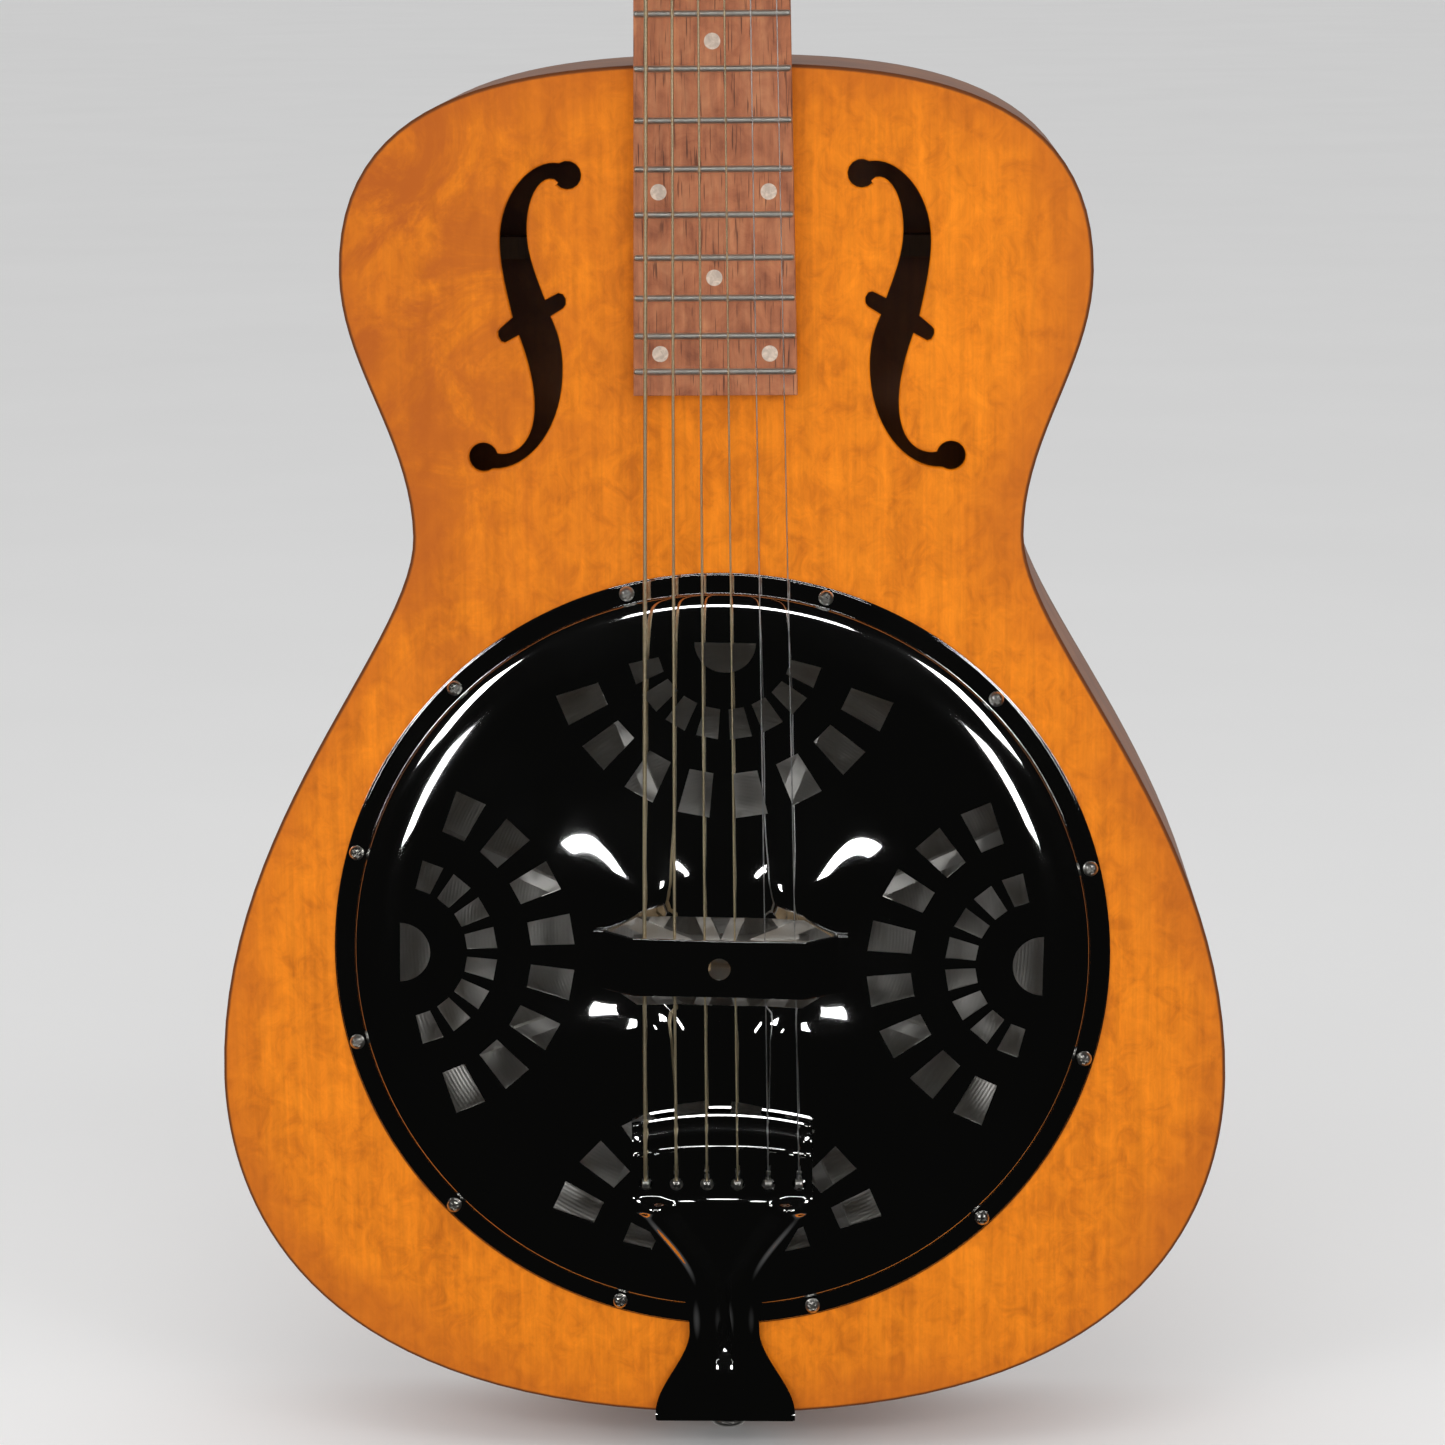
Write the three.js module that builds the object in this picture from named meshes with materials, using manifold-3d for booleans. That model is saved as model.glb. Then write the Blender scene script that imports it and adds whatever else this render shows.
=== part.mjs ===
// Resonator guitar: a hollow wooden body with a spun cone under a pierced metal cover,
// a bolt-on neck joined at the twelfth fret, and a solid headstock with six worm-geared tuners.
// Millimetres. +X to the treble side, +Y from front to back, +Z up along the neck.
// The origin is the place under the headstock where a wall hanger carries the guitar.
import * as THREE from "three";
import { mergeVertices } from "three/addons/utils/BufferGeometryUtils.js";
import Module from "manifold-3d";

const wasm = await Module();
wasm.setup();

// ---- Clearances ----
const GLUE = 0.1; // glue line between wooden faces
const FIT = 0.3; // between fitted or moving metal pieces
const SCREW_FIT = 0.4; // round a screw's shank

// ---- Scale and heights ----
const SCALE = 635; // nut to the theoretical saddle
const COMPENSATION = 2.5; // extra string length at the saddle
const NUT_Z = -12; // front edge of the nut, below the hanger
const TOP_FRONT = -5; // front face of the wooden top, and of the neck under its board
const CONE_Z = NUT_Z - SCALE - COMPENSATION; // centre of the cone, the saddle and the cover

// ---- Body outline, half widths and heights from the cone's centre ----
const JOINT_STEP = 1.5; // twelfth fret to the body's upper edge
const UPPER_BOUT_WIDTH = 133.3;
const UPPER_BOUT_DROP = 73; // below the body's upper edge
const WAIST_WIDTH = 109.2;
const WAIST_RISE = 154.6;
const LOWER_BOUT_WIDTH = 184.1;
const LOWER_BOUT_DROP = 46.6;
const TAIL_DROP = 177;
const TOP_EDGE = SCALE / 2 + COMPENSATION + JOINT_STEP;

// ---- Body shells ----
const BODY_DEPTH = 85;
const TOP_THICKNESS = 4;
const BACK_THICKNESS = 3.5;
const SIDE_THICKNESS = 3;
const LINING_WIDTH = 6;
const LINING_DEPTH = 14;
const BLOCK_WIDTH = 70;
const NECK_BLOCK_LENGTH = 30;
const TOP_BACK = TOP_FRONT + TOP_THICKNESS;
const BODY_BACK = TOP_FRONT + BODY_DEPTH;
const BACK_FRONT = BODY_BACK - BACK_THICKNESS;
const BRACE_WIDTH = 8;
const TOP_BRACE_RISE = 160; // height of the top's brace above the cone's centre
const BACK_BRACE_UPPER_DROP = 70; // below the body's upper edge
const BACK_BRACE_LOWER_RISE = 158;
const BRACE_DEPTH = 10;

// ---- Cone, soundwell and cover ----
const CONE_RADIUS = 133;
const CONE_SHEET = 1;
const CONE_DEPTH = 27;
const CONE_RIM_WIDTH = 9; // flat rim that lies on the ledge
const CONE_RING_RADIUS = CONE_RADIUS - 28; // halfway down the spun slope
const CONE_VALLEY_OUTER = CONE_RADIUS - 55;
const CONE_VALLEY_INNER = CONE_RADIUS - 77;
const CONE_BOSS_RADIUS = 10;
const SPIDER_FOOT_LENGTH = 21; // flat end of each leg on the cone's rim
const SPIDER_RING = 30; // outer radius of the cast ring round the hub
const SPIDER_RING_WIDTH = 6;
const LEDGE_DEPTH = 14; // front of the top to the ledge that carries the cone
const LEDGE_WIDTH = 8;
const LEDGE_THICKNESS = 7;
const WELL_WALL = 8.5;
const WELL_INNER = CONE_RADIUS + 0.6;
const WELL_OUTER = WELL_INNER + WELL_WALL;
const WELL_PORTS = 8;
const WELL_PORT_RADIUS = 20;
const COVER_RADIUS = CONE_RADIUS + 8.5;
const COVER_SHEET = 1;
const COVER_TURN = 1.3; // degrees that the cover sits clockwise of square
const COVER_HEIGHT = 9; // crown of the cover above the wood
const COVER_SCREWS = 12;
const SCREW_CIRCLE = CONE_RADIUS + 5;
const SCREW_RADIUS = 1.4;
const SCREW_LENGTH = 12;
const SCREW_HEAD = 2.6;
const FAN_CENTRE = CONE_RADIUS - 16; // cover's centre to each fan's centre
const MOUTH_HALF_HEIGHT = 16.5; // the cover's opening over the saddle
const MOUTH_CORNER = [12, 7.5]; // cut off each corner of the opening
const FLANGE_HEIGHT = 1.1; // cover's flat rim above the wood

// ---- Strings ----
const STRING_GAUGES = [1.42, 1.07, 0.84, 0.66, 0.46, 0.41]; // bass to treble, diameters
const NUT_SPREAD = 37; // first string to sixth
const SADDLE_SPREAD = 54.6;
const SADDLE_HEIGHT = 13.8; // top of the saddle above the wood
const NUT_HEIGHT = 1.3; // top of the nut above the fretboard
const STRING_REST = 0.2; // string above what it rests on
const SADDLE_END = SADDLE_SPREAD / 2 + 3.5;
const MOUTH_HALF_WIDTH = SADDLE_END + 11.2;

// ---- Neck and fretboard ----
const BOARD_THICKNESS = 6.5;
const NUT_HALF_WIDTH = 23.5;
const BOARD_TAPER = 0.0127; // half width gained for each millimetre of length
const FRETS = 19;
const BOARD_OVERHANG = 8.5; // past the last fret
const FRET_HEIGHT = 1;
const FRET_WIDTH = 2.4;
const NECK_DEPTH = 15.5; // behind the board, at the nut
const HEEL_LENGTH = 42;
const HEEL_DEPTH = BODY_DEPTH - 13;
const NUT_THICKNESS = 5;
const ROD_RADIUS = 2.8;
const ROD_NUT_RADIUS = 4.2;
const ROD_CHANNEL_DEPTH = 9;
const NECK_BOLT_DEPTHS = [18, 38]; // behind the neck's mid-plane
const NECK_BOLT_RADIUS = 3;
const NECK_BOLT_GRIP = 12; // thread inside the heel

// ---- Headstock and tuners ----
const HEAD_TILT = THREE.MathUtils.degToRad(12);
const HEAD_LENGTH = 158;
const HEAD_THICKNESS = 15;
const HEAD_HALF_WIDTH = 37;
const HEAD_CROWN_HALF_WIDTH = 32;
const HEAD_START = NUT_Z + NUT_THICKNESS + FIT;
const POST_SPACING = 40;
const FIRST_POST = 36; // up the headstock
const POST_HALF_SPREAD = 22.5;
const POST_RADIUS = 3;
const POST_PROUD = 16; // in front of the headstock
const GEAR_TEETH = 14;
const GEAR_RADIUS = 6.6;
const GEAR_ROOT = GEAR_RADIUS - 1.2;
const GEAR_THICKNESS = 2.4;
const WORM_MEAN = 2;
const WORM_THREAD = 0.5; // half the thread's height
const WORM_LENGTH = 9;
const WORM_PITCH_RADIUS = GEAR_RADIUS - 0.35; // where worm and gear roll together
const TUNER_PLATE = 1.2;
const SHAFT_RADIUS = 1.5;
const KEY_HALF_LENGTH = 7.5;
const KEY_HALF_WIDTH = 8.5;
const KEY_HALF_THICKNESS = 3.4;

// ---- Tailpiece and hand rest, heights in front of the wood ----
const TAIL_SHEET = 1.5;
const TAIL_BAR_HEIGHT = 10.2;
const TAIL_BAR_TOP = 57; // below the cone's centre
const TAIL_BAR_BOTTOM = 92;
const TAIL_BAR_BOW = 4; // rise of the bar's upper edge at its middle
const TAIL_SPREAD = SADDLE_SPREAD + 1.6;
const TAIL_BAR_HALF_WIDTH = TAIL_SPREAD / 2 + 4.9;
const TAIL_NECK_HALF_WIDTH = 13;
const TAIL_FOOT_HALF_WIDTH = 26;
const TAIL_FOOT_HEIGHT = 3;
const TAIL_FOLD = 42; // length of the plate over the end of the body
const BALL_DROP = TAIL_BAR_BOTTOM - 8;
const BALL_RADIUS = 2;
const BALL_HALF_LENGTH = 1.4;
const ENDPIN_DEPTH = 32; // behind the wood's front face
const ENDPIN_SHANK = 3;
const REST_HALF_WIDTH = MOUTH_HALF_WIDTH + 4;
const REST_FLAT_HALF_WIDTH = MOUTH_HALF_WIDTH - 11;
const REST_HOLE_RADIUS = 4;
const REST_LENGTH = 22;
const REST_HEIGHT = 20;
const REST_SHEET = 1.2;

// ---- Helpers for solids ----
const vec2 = (x, y) => new THREE.Vector2(x, y);

// A closed geometry as a solid, its faces turned outwards.
function solid(geometry) {
  const bare = new THREE.BufferGeometry();
  bare.setAttribute("position", geometry.getAttribute("position").clone());
  if (geometry.index) bare.setIndex(geometry.index.clone());
  const merged = mergeVertices(bare, 1e-4);
  const triVerts = new Uint32Array(merged.index.array);
  const vertProperties = merged.attributes.position.array;
  const made = new wasm.Manifold(new wasm.Mesh({ numProp: 3, vertProperties, triVerts }));
  if (made.volume() >= 0) return made;
  for (let i = 0; i < triVerts.length; i += 3) {
    [triVerts[i + 1], triVerts[i + 2]] = [triVerts[i + 2], triVerts[i + 1]];
  }
  return new wasm.Manifold(new wasm.Mesh({ numProp: 3, vertProperties, triVerts }));
}

const join = (first, ...rest) => rest.reduce((whole, piece) => whole.add(piece), first);
const cut = (first, ...rest) => rest.reduce((whole, piece) => whole.subtract(piece), first);

function geometryOf(shape) {
  const mesh = shape.getMesh();
  const positions = new Float32Array(mesh.numVert * 3);
  for (let i = 0; i < mesh.numVert; i += 1) {
    const start = i * mesh.numProp;
    positions.set(mesh.vertProperties.subarray(start, start + 3), i * 3);
  }
  const geometry = new THREE.BufferGeometry();
  geometry.setAttribute("position", new THREE.BufferAttribute(positions, 3));
  geometry.setIndex(new THREE.BufferAttribute(new Uint32Array(mesh.triVerts), 1));
  const flat = geometry.toNonIndexed();
  flat.computeVertexNormals();
  return flat;
}

// A plate parallel to the guitar's face: its shape in X and Z, between two depths in Y.
function slab(shape, front, back, segments = 12) {
  const options = { depth: back - front, bevelEnabled: false, curveSegments: segments };
  return solid(new THREE.ExtrudeGeometry(shape, options).rotateX(Math.PI / 2).translate(0, back, 0));
}

function box(x0, x1, y0, y1, z0, z1) {
  const geometry = new THREE.BoxGeometry(x1 - x0, y1 - y0, z1 - z0);
  return solid(geometry.translate((x0 + x1) / 2, (y0 + y1) / 2, (z0 + z1) / 2));
}

// Cylinders along the guitar's three directions.
function postAlongY(radius, front, back, x = 0, z = 0, sides = 16) {
  const geometry = new THREE.CylinderGeometry(radius, radius, back - front, sides);
  return solid(geometry.translate(x, (front + back) / 2, z));
}

function postAlongZ(radius, low, high, x = 0, y = 0, sides = 16) {
  const geometry = new THREE.CylinderGeometry(radius, radius, high - low, sides);
  return solid(geometry.rotateX(Math.PI / 2).translate(x, y, (low + high) / 2));
}

function postAlongX(radius, left, right, y = 0, z = 0, sides = 16) {
  const geometry = new THREE.CylinderGeometry(radius, radius, right - left, sides);
  return solid(geometry.rotateZ(Math.PI / 2).translate((left + right) / 2, y, z));
}

// A turned piece about the Y axis, from radius and depth pairs.
function turned(profile, sides) {
  return solid(new THREE.LatheGeometry(profile.map(([r, y]) => vec2(r, y)), sides));
}

function shapeOf(points) {
  return new THREE.Shape(points.map(([x, y]) => vec2(x, y)));
}

// Both sides of a line of points, a sheet's thickness apart, as one closed shape.
function ribbon(points, thickness) {
  const line = points.map(([a, b]) => vec2(a, b));
  const back = line.map((point, i) => {
    const before = point.clone().sub(line[Math.max(i - 1, 0)]).normalize();
    const after = line[Math.min(i + 1, line.length - 1)].clone().sub(point).normalize();
    const along = before.clone().add(after).normalize();
    const reach = i === 0 || i === line.length - 1 ? 1 : Math.sqrt((1 + before.dot(after)) / 2);
    return vec2(point.x - (along.y * thickness) / reach, point.y + (along.x * thickness) / reach);
  });
  return new THREE.Shape([...line, ...back.reverse()]);
}

// A bar across the guitar from its section in Z and Y.
function barAcross(section, halfWidth) {
  const options = { depth: 2 * halfWidth, bevelEnabled: false };
  const geometry = new THREE.ExtrudeGeometry(section, options);
  return solid(geometry.rotateY(Math.PI / 2).scale(1, 1, -1).translate(-halfWidth, 0, 0));
}

// Rings of points lofted along a row of stations; a ring's middle point closes each end.
function loft(stations, sides, place) {
  const rows = stations.length - 1;
  const geometry = new THREE.CylinderGeometry(1, 1, 1, sides, rows);
  const at = geometry.attributes.position;
  for (let i = 0; i < at.count; i += 1) {
    const station = stations[Math.round((at.getY(i) + 0.5) * rows)];
    const reach = Math.hypot(at.getX(i), at.getZ(i));
    const angle = Math.atan2(at.getX(i), at.getZ(i));
    const [x, y, z] = place(station, angle, reach > 0.5 ? 1 : 0);
    at.setXYZ(i, x, y, z);
  }
  return solid(geometry);
}

// ---- Scene graph ----
const guitar = new THREE.Group();
const body = new THREE.Group();
body.position.z = CONE_Z;
guitar.add(body);
const cover = new THREE.Group();
cover.rotation.y = THREE.MathUtils.degToRad(COVER_TURN);
body.add(cover);
const headstock = new THREE.Group();
headstock.position.set(0, TOP_FRONT, HEAD_START);
headstock.rotation.x = -HEAD_TILT;
guitar.add(headstock);

const finish = (color, roughness, metalness) => ({ color, roughness, metalness });
const FINISHES = {
  maple: finish(0xc47a26, 0.4, 0),
  sideMaple: finish(0x8a5424, 0.45, 0),
  plainWood: finish(0xcdab78, 0.7, 0),
  mahogany: finish(0x7a4a2a, 0.45, 0),
  rosewood: finish(0x6b4436, 0.55, 0),
  chrome: finish(0xd8d8da, 0.08, 1),
  aluminium: finish(0xa9abae, 0.4, 1),
  nickel: finish(0xc9c6bf, 0.25, 1),
  bronze: finish(0xc59a55, 0.35, 1),
  steel: finish(0xb9bbbe, 0.3, 1),
  bone: finish(0xe9e2cf, 0.5, 0),
  black: finish(0x161616, 0.4, 0),
};

function add(name, shape, look, parent = body) {
  const mesh = new THREE.Mesh(geometryOf(shape), new THREE.MeshStandardMaterial(FINISHES[look]));
  mesh.name = name;
  parent.add(mesh);
  return mesh;
}

// ---- Body outline ----
// Four curves from the middle of the upper edge round the treble side to the tail.
function outlineCurves() {
  const upperZ = TOP_EDGE - UPPER_BOUT_DROP;
  const waistSpan = upperZ - WAIST_RISE;
  const lowerZ = -LOWER_BOUT_DROP;
  const lowerSpan = WAIST_RISE - lowerZ;
  const tailSpan = TAIL_DROP - LOWER_BOUT_DROP;
  const curve = (...corners) => new THREE.CubicBezierCurve(...corners);
  return [
    curve(
      vec2(0, TOP_EDGE),
      vec2(0.47 * UPPER_BOUT_WIDTH, TOP_EDGE),
      vec2(UPPER_BOUT_WIDTH, upperZ + 0.93 * UPPER_BOUT_DROP),
      vec2(UPPER_BOUT_WIDTH, upperZ),
    ),
    curve(
      vec2(UPPER_BOUT_WIDTH, upperZ),
      vec2(UPPER_BOUT_WIDTH, upperZ - 0.35 * waistSpan),
      vec2(WAIST_WIDTH, WAIST_RISE + 0.38 * waistSpan),
      vec2(WAIST_WIDTH, WAIST_RISE),
    ),
    curve(
      vec2(WAIST_WIDTH, WAIST_RISE),
      vec2(WAIST_WIDTH, WAIST_RISE - 0.19 * lowerSpan),
      vec2(LOWER_BOUT_WIDTH, lowerZ + 0.47 * lowerSpan),
      vec2(LOWER_BOUT_WIDTH, lowerZ),
    ),
    curve(
      vec2(LOWER_BOUT_WIDTH, lowerZ),
      vec2(LOWER_BOUT_WIDTH, lowerZ - 0.31 * tailSpan),
      vec2(0.9 * LOWER_BOUT_WIDTH, -TAIL_DROP),
      vec2(0, -TAIL_DROP),
    ),
  ];
}

const OUTLINE_STEPS = [7, 5, 6, 9];

// The outline moved inwards by an inset, as points round the whole body.
function outline(inset) {
  const half = [];
  outlineCurves().forEach((curve, index) => {
    const steps = OUTLINE_STEPS[index];
    for (let i = index === 0 ? 0 : 1; i <= steps; i += 1) {
      const tangent = curve.getTangent(i / steps);
      const inwards = vec2(tangent.y, -tangent.x);
      half.push(curve.getPoint(i / steps).addScaledVector(inwards, inset));
    }
  });
  const other = half.slice(1, -1).map((p) => vec2(-p.x, p.y));
  return [...half.reverse(), ...other];
}

const filledOutline = (inset) => new THREE.Shape(outline(inset));

function ringOutline(outer, inner) {
  const shape = filledOutline(outer);
  shape.holes.push(new THREE.Path(outline(inner)));
  return shape;
}

// ---- Sound holes ----
// One f-shaped hole on the treble side, from the middle line and the body's upper edge.
const EYE_RADIUS = 5;
const HOLE_DROP = 88.5; // body's upper edge to the nicks at the hole's middle
function soundHole(side) {
  const path = new THREE.Shape();
  path.moveTo(57, 48);
  path.bezierCurveTo(66, 55, 76, 42, 76, 26);
  path.bezierCurveTo(76, 18, 74.5, 10, 72.5, 3);
  path.lineTo(76.8, -5.5);
  path.lineTo(75.4, -8.8);
  path.lineTo(70, -6.5);
  path.bezierCurveTo(66, -18, 64, -28, 66, -40);
  path.bezierCurveTo(67.5, -45, 71, -48.5, 77, -49.5);
  path.lineTo(79, -54.5);
  path.bezierCurveTo(66, -54.5, 54, -40, 54.3, -17);
  path.bezierCurveTo(54.5, -11, 56, -6, 58.2, 0);
  path.lineTo(53.4, 4);
  path.lineTo(53.4, 8.6);
  path.lineTo(60, 6.5);
  path.bezierCurveTo(64, 17, 67.5, 30, 65.6, 40);
  path.bezierCurveTo(64, 46.5, 61, 49, 57, 48);
  const upperEye = postAlongY(EYE_RADIUS, TOP_FRONT - 1, TOP_BACK + 1, 52, 50, 12);
  const lowerEye = postAlongY(EYE_RADIUS, TOP_FRONT - 1, TOP_BACK + 1, 83, -50.5, 12);
  const throat = shapeOf([[52, 55], [60, 56], [66, 53], [61, 47], [55, 47]]);
  const hook = slab(throat, TOP_FRONT - 1, TOP_BACK + 1);
  const stem = slab(path, TOP_FRONT - 1, TOP_BACK + 1, 6);
  const whole = join(stem, upperEye, lowerEye, hook).translate([0, 0, TOP_EDGE - HOLE_DROP]);
  return side > 0 ? whole : whole.mirror([1, 0, 0]);
}

const coverScrewAngle = (i) => ((i + 0.5) * 2 * Math.PI) / COVER_SCREWS;
const coverTurn = THREE.MathUtils.degToRad(COVER_TURN);

// Holes for the cover's screws in a wooden piece behind it, which the turned cover sets.
function coverScrewHoles(front, back) {
  return Array.from({ length: COVER_SCREWS }, (_, i) => {
    const angle = coverScrewAngle(i) + coverTurn;
    const x = SCREW_CIRCLE * Math.sin(angle);
    const z = SCREW_CIRCLE * Math.cos(angle);
    return postAlongY(SCREW_RADIUS + SCREW_FIT, front, back, x, z, 6);
  });
}

// ---- Body shells, linings and braces ----
function makeBody() {
  const plate = slab(filledOutline(0), TOP_FRONT, TOP_BACK);
  const wellHole = postAlongY(WELL_INNER, TOP_FRONT - 1, TOP_BACK + 1, 0, 0, 40);
  const screwHoles = coverScrewHoles(TOP_FRONT - 1, TOP_BACK + 1);
  add("top_plate", cut(plate, wellHole, soundHole(1), soundHole(-1), ...screwHoles), "maple");
  add("back_plate", slab(filledOutline(0), BACK_FRONT, BODY_BACK), "sideMaple");

  const sideFront = TOP_BACK + GLUE;
  const sideBack = BACK_FRONT - GLUE;
  const reach = TOP_EDGE + 10;
  const boltHoles = NECK_BOLT_DEPTHS.map((depth) =>
    postAlongZ(NECK_BOLT_RADIUS + FIT, TOP_EDGE - 60, reach, 0, depth, 12),
  );
  const pinY = TOP_FRONT + ENDPIN_DEPTH;
  const pinHole = postAlongZ(ENDPIN_SHANK + FIT, -TAIL_DROP - 5, -TAIL_DROP + 60, 0, pinY, 12);
  const wall = cut(slab(ringOutline(0, SIDE_THICKNESS), sideFront, sideBack), ...boltHoles, pinHole);
  const outside = LOWER_BOUT_WIDTH + 10;
  const trebleHalf = box(GLUE, outside, sideFront - 1, sideBack + 1, -TAIL_DROP - 10, reach);
  add("side_treble", wall.intersect(trebleHalf), "sideMaple");
  add("side_bass", wall.intersect(trebleHalf.mirror([1, 0, 0])), "sideMaple");

  const liningOuter = SIDE_THICKNESS + GLUE;
  const liningInner = liningOuter + LINING_WIDTH;
  const lining = (front, back) => slab(ringOutline(liningOuter, liningInner), front, back);
  add("lining_top", lining(sideFront, sideFront + LINING_DEPTH), "plainWood");
  add("lining_back", lining(sideBack - LINING_DEPTH, sideBack), "plainWood");

  // A block fills the depth inside the linings and reaches the side between them.
  const block = (low, high) => {
    const bounds = (front, back) => box(-BLOCK_WIDTH / 2, BLOCK_WIDTH / 2, front, back, low, high);
    const insideLinings = slab(filledOutline(liningInner + GLUE), sideFront, sideBack);
    const clearFront = sideFront + LINING_DEPTH + GLUE;
    const clearBack = sideBack - LINING_DEPTH - GLUE;
    const between = slab(filledOutline(liningOuter), clearFront, clearBack);
    return join(
      insideLinings.intersect(bounds(sideFront, sideBack)),
      between.intersect(bounds(clearFront, clearBack)),
    );
  };
  const neckBlock = block(TOP_EDGE - SIDE_THICKNESS - NECK_BLOCK_LENGTH, TOP_EDGE);
  add("neck_block", cut(neckBlock, ...boltHoles), "plainWood");
  const besideWell = postAlongY(WELL_OUTER + GLUE, sideFront - 1, sideBack + 1, 0, 0, 40);
  const tailBlock = block(-TAIL_DROP, -WELL_OUTER * 0.96);
  add("tail_block", cut(tailBlock, besideWell, pinHole), "plainWood");

  // A brace runs from lining to lining at its own height.
  const brace = (z, front, back) => {
    const strip = box(-outside, outside, front, back, z - BRACE_WIDTH / 2, z + BRACE_WIDTH / 2);
    return slab(filledOutline(liningInner + GLUE), front, back).intersect(strip);
  };
  add("top_brace", brace(TOP_BRACE_RISE, sideFront, sideFront + BRACE_DEPTH), "plainWood");
  const backBraceFront = sideBack - BRACE_DEPTH;
  add("back_brace_upper", brace(TOP_EDGE - BACK_BRACE_UPPER_DROP, backBraceFront, sideBack), "plainWood");
  add("back_brace_lower", brace(BACK_BRACE_LOWER_RISE, backBraceFront, sideBack), "plainWood");
}

// ---- Soundwell and cone ----
const LEDGE_FRONT = TOP_FRONT + LEDGE_DEPTH;
const CONE_RIM_FRONT = LEDGE_FRONT - GLUE - CONE_SHEET;

function makeSoundwell() {
  const front = TOP_BACK + GLUE;
  const back = BACK_FRONT - GLUE;
  const ledgeInner = WELL_INNER - LEDGE_WIDTH;
  const wall = turned(
    [
      [WELL_OUTER, front],
      [WELL_OUTER, back],
      [WELL_INNER, back],
      [WELL_INNER, LEDGE_FRONT + LEDGE_THICKNESS],
      [ledgeInner, LEDGE_FRONT + LEDGE_THICKNESS],
      [ledgeInner, LEDGE_FRONT],
      [WELL_INNER, LEDGE_FRONT],
      [WELL_INNER, front],
      [WELL_OUTER, front],
    ],
    40,
  );
  const portY = (LEDGE_FRONT + LEDGE_THICKNESS + back) / 2;
  const ports = Array.from({ length: WELL_PORTS }, (_, i) => {
    const geometry = new THREE.CylinderGeometry(WELL_PORT_RADIUS, WELL_PORT_RADIUS, 40, 8);
    geometry.rotateX(Math.PI / 2).translate(0, portY, WELL_OUTER);
    return solid(geometry.rotateY(((i + 0.5) * 2 * Math.PI) / WELL_PORTS));
  });
  const screwHoles = coverScrewHoles(front - 1, TOP_FRONT + SCREW_LENGTH + 1);
  add("soundwell", cut(wall, ...ports, ...screwHoles), "plainWood");
}

const HUB_HALF_WIDTH = SADDLE_END + 1.2;
const HUB_HALF_HEIGHT = 7;
const HUB_FRONT = TOP_FRONT - COVER_HEIGHT + COVER_SHEET + 2;
const HUB_BACK = HUB_FRONT + 9;
const SLOT_HALF_HEIGHT = 3.2;
const SLOT_DEPTH = 6;
const SADDLE_GAP = 3.6; // half the gap between the two saddle halves
const CONE_BOSS_FRONT = CONE_RIM_FRONT + 7;

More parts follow.
